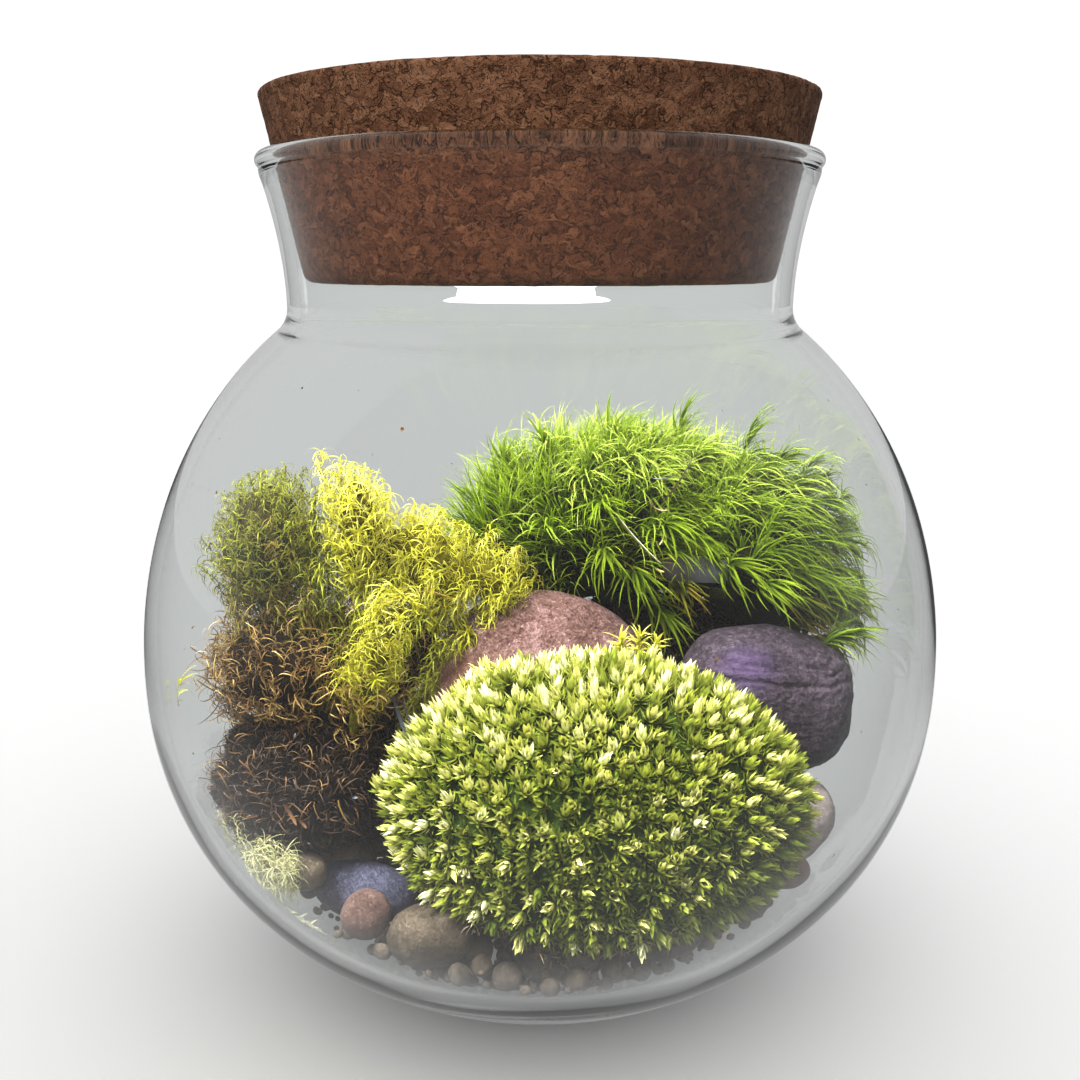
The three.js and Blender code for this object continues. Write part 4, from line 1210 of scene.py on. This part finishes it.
MIDDLE_ROW = [
    ((-47, 1, 70), (-48, 1, 84), (-46.5, 1, 97), 0.8),
    ((-49, -2, 66), (-49, -3, 80), (-46.5, -3, 91), 0.74),
    ((-46, -6, 62), (-47, -7, 74), (-44, -7, 84), 0.74),
    ((-50, -8, 60), (-50, -10, 70), (-46, -10, 78), 0.42),
    ((-43, -8, 54), (-43, -11, 62), (-39, -12, 71), 0.4),
    ((-40, -10, 52), (-40, -14, 60), (-36, -14, 68), 0.3),
    ((-45, 0, 62), (-46, 0, 76), (-43, 1, 88), 0.55),
    ((-42, 2, 64), (-43, 2, 78), (-40, 3, 90), 0.7),
    ((-44, -6, 58), (-45, -8, 68), (-42, -8, 78), 0.5),
    ((-40, -6, 56), (-41, -9, 66), (-37, -9, 75), 0.6),
    ((-46, -4, 70), (-46, -5, 80), (-43, -4, 88), 0.6),
    ((-38, 0, 62), (-38, -2, 72), (-34, -2, 80), 0.7),
    ((-36, -8, 52), (-36, -11, 60), (-31, -12, 66), 0.55),
    ((-30, -2, 58), (-30, -5, 66), (-25, -5, 72), 0.7),
    ((-24, -1, 54), (-24, -4, 62), (-19, -4, 67), 0.6),
    ((-48, -2, 74), (-48, -1, 84), (-46, 0, 92), 0.6),
    ((-20, 4, 56), (-20, 2, 62), (-15, 1, 66), 0.55),
    ((-28, -8, 48), (-27, -11, 56), (-22, -11, 61), 0.5),
]
BRIGHT_ROW = [
    ((-42, 0, 84), (-45, 0, 98), (-44.8, 0, 106), 0.96),
    ((-41, 0, 86), (-42, 0, 97), (-40.6, -1, 104), 1.0),
    ((-40, -1, 84), (-40, -1, 94), (-37.6, -1, 101), 1.0),
    ((-38, 2, 84), (-38, 2, 92), (-36, 1, 96.5), 0.95),
    ((-34, 4, 80), (-34, 4, 90), (-31.6, 4, 95), 0.97),
    ((-28, 6, 80), (-29, 7, 88), (-26.7, 7, 93), 0.95),
    ((-23, 8, 78), (-24, 9, 87), (-21.5, 9, 92), 0.93),
    ((-18, 9, 74), (-18, 10, 83), (-16, 10, 88.5), 0.95),
    ((-13, 10, 72), (-13, 11, 81), (-11, 11.5, 87), 0.95),
    ((-8, 11, 70), (-8, 12, 78), (-5, 12, 83), 0.95),
    ((-30, 2, 76), (-31, 0, 82), (-28, -2, 84), 0.82),
    ((-24, 2, 72), (-25, 0, 78), (-21.5, -1, 81), 0.86),
    ((-18, 3, 68), (-18, 2, 73), (-15, 1, 77), 0.86),
    ((-12, 4, 66), (-11, 4, 70), (-8.5, 4, 74), 0.86),
    ((-16, 2, 60), (-17, 1, 64), (-15, 0, 68), 0.7),
    ((-38, -4, 70), (-37, -6, 78), (-34, -7, 83), 0.75),
]
NODDING = [
    ((-40, -17, 62), (-34, -19.5, 71), (-30, -20, 80), 0.66),
    ((-33, -19.5, 73), (-31, -21, 88), (-23.5, -21, 79), 0.82),
]


def single_shoots(name, rows, count, leaf, slot, node, width=0.3, finish=curly_finish):
    """Leaves round the shoots of some rows, with a flat stalk in each."""
    stems = np.array([row[:3] for row in rows], float)
    tint = np.array([row[3] for row in rows])
    droop = np.array([0.15, -0.2, -0.5])
    hooks = stem_leaves(
        stems, count, draw, (66, 34), 0.9, droop, leaf, width, 3.9, tint, start=0.0, loose=0.8, **HOOKED,
    )
    lower, upper = stems[:, 1] - stems[:, 0], stems[:, 2] - stems[:, 1]
    reach = np.linalg.norm(lower, axis=1) + np.linalg.norm(upper, axis=1)
    bend = np.arccos(np.sum(unit(lower) * unit(upper), axis=1))  # the angle between the shoot's two legs
    wide, dark = np.full(len(rows), 0.6), np.zeros(len(rows))
    stalks = leaves(stems[:, 0], lower, upper, 0.95 * reach, wide, bend, dark, HAIR, 6, fold=0)
    new_leaves(name, [hooks, stalks], finish, slot, [node])


def old_growth(name, node, slot, shrink, spacing, length, width, flat, bend, low, high, keep, steps, least):
    """Brown loops over a clump's skin."""
    skin = melted(node, 1.1, 14, shrink)
    loops = fibres(skin, spacing, length, width, draw, flat, bend, low, high, keep, steps, least)
    new_leaves(name, [loops], brown_finish, slot, [node])


single_shoots("olive_shoots", OLIVE_ROW, 90, 4.4, "moss_olive", "left_moss_olive", finish=olive_finish)
single_shoots("middle_shoots", MIDDLE_ROW, 110, 5.6, "moss_yellow", "left_moss_yellow", finish=olive_finish)
single_shoots("bright_shoots", BRIGHT_ROW, 96, 5.2, "moss_yellow", "left_moss_yellow")
single_shoots("nodding_shoot", NODDING, 120, 6.2, "moss_yellow", "left_moss_sprig")
single_shoots("tan_shoots", TAN_ROW, 90, 4.6, "moss_dead", "left_moss_brown", finish=olive_finish)
old_growth(
    "brown_loops", "left_moss_brown", "moss_dead", 0.0, 2.1, 9.0, 0.26,
    flat=0.7, bend=3.8, low=0.2, high=0.95, keep=facing(-0.7), steps=12, least=0.7,
)
old_growth(
    "sprig_stalk", "left_moss_sprig", "moss_yellow", 0.4, 1.3, 4.6, 0.27,
    flat=0.5, bend=3.2, low=0.2, high=0.9, keep=below(64), steps=8, least=0.6,
)
old_growth(
    "peat_loops", "left_moss_peat", "moss_soil", 0.0, 3.0, 8.0, 0.26,
    flat=0.6, bend=3.8, low=0.0, high=0.6, keep=above(40), steps=12, least=0.7,
)

# %% [markdown]
# ### The pale tuft
# Low on the left a small tuft of bleached moss leans against the glass. It is made as the curly moss
# is, with softer, straighter hairs, and some shoots of its own that reach up and down the glass.

# %% Pale tuft
pale_finish = leaf_finish(
    "pale_hairs",
    [(0, rgb(140, 128, 90)), (0.5, rgb(184, 176, 140)), (1, rgb(206, 200, 170))],
    [(0, rgb(150, 154, 86)), (0.5, rgb(190, 190, 138)), (1, rgb(216, 212, 184))],
    rgb(170, 166, 120),
    glow=0.4, roughness=0.6,
)
pale_inside = soil_and_core_finish("pale_inside", rgb(110, 98, 66), rgb(148, 138, 100), rgb(176, 168, 134))
curly(
    "pale_tuft", "pale_moss_tuft", "moss_pale", pale_finish, pale_inside, 2.2,
    rising(0.4, -0.04, 36), count=26, length=4, leaf=4.6, bend=2.4, width=0.2, core=1.0,
)
TUFT_ROW = [
    ((-54, -36, 29), (-59, -33, 33), (-64, -28, 38), 0.1),
    ((-52, -37, 29), (-56, -35, 34), (-59, -32, 40), 0.12),
    ((-50, -38, 28), (-52, -38, 33), (-53, -36, 37), 0.2),
    ((-47, -38, 27), (-47, -40, 31), (-47.5, -39, 35), 0.25),
    ((-52, -36, 24), (-55, -37, 27), (-58, -36, 28), 0.8),
    ((-48, -40, 22), (-50, -41, 25), (-52, -41, 26), 0.9),
    ((-44, -42, 21), (-45, -43, 23), (-47, -43, 24), 1.0),
]
single_shoots("tuft_shoots", TUFT_ROW, 60, 4.8, "moss_pale", "pale_moss_tuft", width=0.22, finish=pale_finish)

# %% [markdown]
# ## Strays
# Some loose bits lie about, as in any planted jar: a dry stalk with its broken end, two curled dry
# bits, two dark twigs and a chip of bark on the back moss, two strips of bark beside the cushion, two
# small flakes on the peat, yellow sprigs behind the cushion, one small sprig that sticks to the glass,
# and crumbs of soil that cling to the inside of the jar.

# %% Strays
draw = np.random.default_rng(53)
stray_finish = leaf_finish(
    "dry_bits",
    [
        (0, rgb(44, 50, 58)), (0.2, rgb(52, 38, 28)), (0.5, rgb(70, 46, 32)),
        (0.8, rgb(150, 126, 92)), (1, rgb(226, 218, 200)),
    ],
    [
        (0, rgb(112, 124, 138)), (0.2, rgb(72, 54, 40)), (0.5, rgb(110, 78, 54)),
        (0.8, rgb(176, 152, 116)), (1, rgb(236, 230, 216)),
    ],
    rgb(120, 90, 60), glow=0.1, roughness=0.55,
)
CRUMBS = 70
STRIP = ([0, 0.1, 0.9, 1], [0.5, 1, 0.8, 0.2])  # width along a stray bit, as shares
# Each row is a bit's root, its tip, the way it bends, its width, its bend and its tint.
STRAYS = [
    ((16.6, 10, 90.8), (25.3, 9.5, 79.0), (0, 0, 1), 1.5, 0.2, 0.95),
    ((25.3, 9.5, 79.0), (26.6, 9.5, 77.4), (1, 0, 0), 2.2, 0.9, 0.78),
    ((23.6, 10, 94.0), (25.0, 10, 89.0), (1, 0, 1), 1.3, 1.6, 0.78),
    ((26.6, 10, 87.2), (27.8, 10, 83.9), (-1, 0, 1), 1.8, 1.2, 0.78),
    ((26.3, 10, 93.6), (34.5, 13, 102.0), (-1, 0, 0), 1.7, 0.3, 0.1),
    ((28.8, 11, 99.1), (24.3, 11, 96.7), (0, 0, 1), 1.0, 0.8, 0.1),
    ((27, 12, 78.5), (43, 12, 77), (0, 1, 0), 6.5, 0.1, 0.12),
    ((-28.5, -22, 61.5), (-25.8, -24, 50), (1, 0, 0), 2.6, 0.25, 0.0),
    ((-26.6, -22.6, 61), (-24.2, -24.4, 51), (1, 0, 0), 1.6, 0.2, 0.03),
    ((-48.2, -33.5, 43.5), (-45.4, -34.6, 40), (0, -1, 0), 0.8, 0.5, 0.4),
    ((-45.5, -34, 40.5), (-43.5, -34.6, 39.4), (0, -1, 0), 0.7, 0.8, 0.45),
]
root, tip, bend_to = (np.array([row[k] for row in STRAYS], float) for k in range(3))
width, bend, tint = (np.array([row[k] for row in STRAYS]) for k in (3, 4, 5))
reach = np.linalg.norm(tip - root, axis=1)
bits = [leaves(root, tip - root, bend_to, reach, width, bend, tint, STRIP, 6)]
turn = draw.uniform(0, 2 * np.pi, CRUMBS)
level = draw.uniform(60, 125, CRUMBS)
level[::3] = draw.uniform(12, 60, len(level[::3]))
wall = inner_radius(level) - 0.75
clinging = np.column_stack([wall * np.cos(turn), wall * np.sin(turn), level])
size = draw.uniform(0.3, 1.1, CRUMBS)
along = square_to(unit(clinging * [1, 1, 0]), draw.normal(size=(CRUMBS, 3)))
bits.append(leaves(
    clinging, along, draw.normal(size=(CRUMBS, 3)), size, size * draw.uniform(0.3, 0.9, CRUMBS),
    draw.uniform(0, 1.5, CRUMBS), draw.uniform(0.02, 0.4, CRUMBS), BROAD, 3,
))
new_leaves("strays", bits, stray_finish, "moss_dead", ["left_moss_peat"])

SPRIGS = np.array([
    [(20, -9, 64), (20, -10, 67), (20.4, -10, 70)],
    [(22.5, -9, 63.5), (23, -10, 66), (24, -9, 68)],
    [(17.5, -9, 64), (17, -10, 66.5), (16.5, -10, 69)],
    [(-12.5, -15, 59), (-12.5, -16, 62), (-11.8, -16, 64.5)],
    [(-14, -18, 57), (-14.5, -19, 60), (-15, -19, 62)],
    [(-9, -14, 60), (-9, -15, 62), (-8, -15, 64)],
], float)
tint = np.full(len(SPRIGS), 0.86)
yellow = stem_leaves(SPRIGS, 20, draw, (60, 25), 0.6, -0.2 * UP, 3.8, 0.7, 1.0, tint, start=0.3)
new_leaves("yellow_sprigs", [yellow], curly_finish, "moss_yellow", ["left_moss_yellow"])
STUCK = np.array([[(-74.5, -13, 54), (-76.5, -11, 58), (-75, -8, 60)]], float)
sweep = np.array([0.3, 0.6, -0.6])
stuck = stem_leaves(STUCK, 16, draw, (40, 20), 0.6, sweep, 4.6, 0.6, 1.5, np.array([0.72]))
new_leaves("stuck_sprig", [stuck], curly_finish, "moss_olive", ["left_moss_olive"])

# %% [markdown]
# ## Room and light
# A bright plain room, with a white floor that fades into it, and soft lamps from above. The lamps
# light the terrarium only, so the floor stays even, and the cork has two of its own. A lamp far
# behind the jar is the window that shows through the glass under the cork.

# %% Room and light
BACKDROP = 1.05  # brightness of the white backdrop and floor as the camera sees them directly
THROUGH = 0.66  # the same as seen through the jar
MIRRORED = 0.06  # as mirrored in the glass
AMBIENT = 0.5  # as the light that they throw on things
GLOW = 0.4  # the part of what is seen through the jar that the floor keeps in shadow
scene.view_settings.view_transform = "Standard"


def by_ray(tree, ambient, through, mirrored, seen, after=0.0):
    """A number that depends on what kind of ray asks for it. Light that comes in through glass after
    it has left something counts as after, because the clear shadows have let it in already."""
    ray = add_node(tree, "ShaderNodeLightPath")
    entered, first = ray["Is Transmission Ray"], 1 - between(tree, ray["Diffuse Depth"], 0.2, 0.8)
    value = ray["Is Glossy Ray"] * (1 - entered) * (mirrored - ambient) + ambient
    value = value * (1 - entered) + entered * (first * (through - after) + after)
    return value * (1 - ray["Is Camera Ray"]) + ray["Is Camera Ray"] * seen


world = bpy.data.worlds.new("room")
world.use_nodes = True
scene.world = world
tree = world.node_tree
heading = add_node(tree, "ShaderNodeTexCoord")["Generated"]
heading = add_node(tree, "ShaderNodeSeparateXYZ", {}, {0: heading})
lit = between(tree, heading["Y"], -0.85, 0.3) * 0.5 + between(tree, heading["Z"], 0.3, 0.95) * 0.12
strength = by_ray(tree, AMBIENT, THROUGH, MIRRORED + lit, BACKDROP)
feed(tree, tree.nodes["Background"], Color=(1, 1, 1, 1), Strength=strength)

HALF_FLOOR = 3  # metres
corners = [(x * HALF_FLOOR, y * HALF_FLOOR, 0) for x, y in ((-1, -1), (1, -1), (1, 1), (-1, 1))]
floor_mesh = bpy.data.meshes.new("floor")
floor_mesh.from_pydata(corners, [], [(0, 1, 2, 3)])
floor = bpy.data.objects.new("floor", floor_mesh)
scene.collection.objects.link(floor)
floor_material, tree, shader, place = new_finish("pale_floor")
from_jar = add_node(tree, "ShaderNodeVectorMath", {"operation": "LENGTH"}, {0: place})["Value"]
near = 1 - between(tree, from_jar, 110, 280)
shaded = 1 - 0.6 * (1 - between(tree, from_jar, 30, 62))  # hardly any light gets under the jar
WHITENESS = 0.6  # how much of the lamps' and the room's light the floor throws back
seen_through = shaded * ((THROUGH - GLOW) / AMBIENT)
paper = by_ray(tree, WHITENESS, seen_through, near * 0.5 + 0.2, BACKDROP / AMBIENT, after=WHITENESS)
paper = add_node(tree, "ShaderNodeCombineXYZ", {}, {0: paper, 1: paper, 2: paper})
paper = add_node(tree, "ShaderNodeBsdfDiffuse", {}, {"Color": paper})
glow = by_ray(tree, 0.0, shaded * GLOW, near * 0.3, 0.0)
glow = add_node(tree, "ShaderNodeEmission", {}, {"Strength": glow})
show(tree, "ShaderNodeAddShader", {0: paper, 1: glow})
floor_mesh.materials.append(floor_material)

contents = bpy.data.collections.new("contents")
stopper = bpy.data.collections.new("stopper")
for piece in scene.objects:
    if piece.type == "MESH" and piece is not floor:
        (stopper if piece.name == "cork" else contents).objects.link(piece)
cork.visible_shadow = False  # else the lamp overhead would leave the moss in the dark


def lamp(name, place, aim, size, power, lights, mirrored=False):
    """A square soft lamp at a place, in mm. It lights one collection only, or all if that is None."""
    data = bpy.data.lights.new(name, "AREA")
    data.shape, data.size, data.energy = "SQUARE", size * MM, power
    obj = bpy.data.objects.new(name, data)
    obj.location = Vector(place) * MM
    obj.rotation_euler = (Vector(aim) - Vector(place)).to_track_quat("-Z", "Y").to_euler()
    obj.visible_glossy = obj.visible_transmission = mirrored
    obj.light_linking.receiver_collection = lights
    scene.collection.objects.link(obj)
    return obj


MOSS, CORK = (0, 0, 60), (0, 0, 160)  # what the lamps are aimed at
lamp("key", (-70, 10, 460), MOSS, 110, 5.5, contents)
lamp("front", (-190, -160, 400), MOSS, 110, 8, contents)
lamp("rim", (130, 220, 380), (0, 20, 80), 140, 2.5, contents)
lamp("fill", (60, -330, 290), MOSS, 200, 1.8, contents)
lamp("cork_light", (-100, -300, 420), CORK, 200, 1.4, stopper)
lamp("cork_back_light", (160, 280, 400), CORK, 200, 1.0, stopper)
window = lamp("window", (-43, 2900, 108), (-43, 0, 108), 500, 0.28, None, mirrored=True)
window.data.shape, window.data.size_y = "ELLIPSE", 130 * MM
window.visible_camera = window.visible_diffuse = window.visible_glossy = False
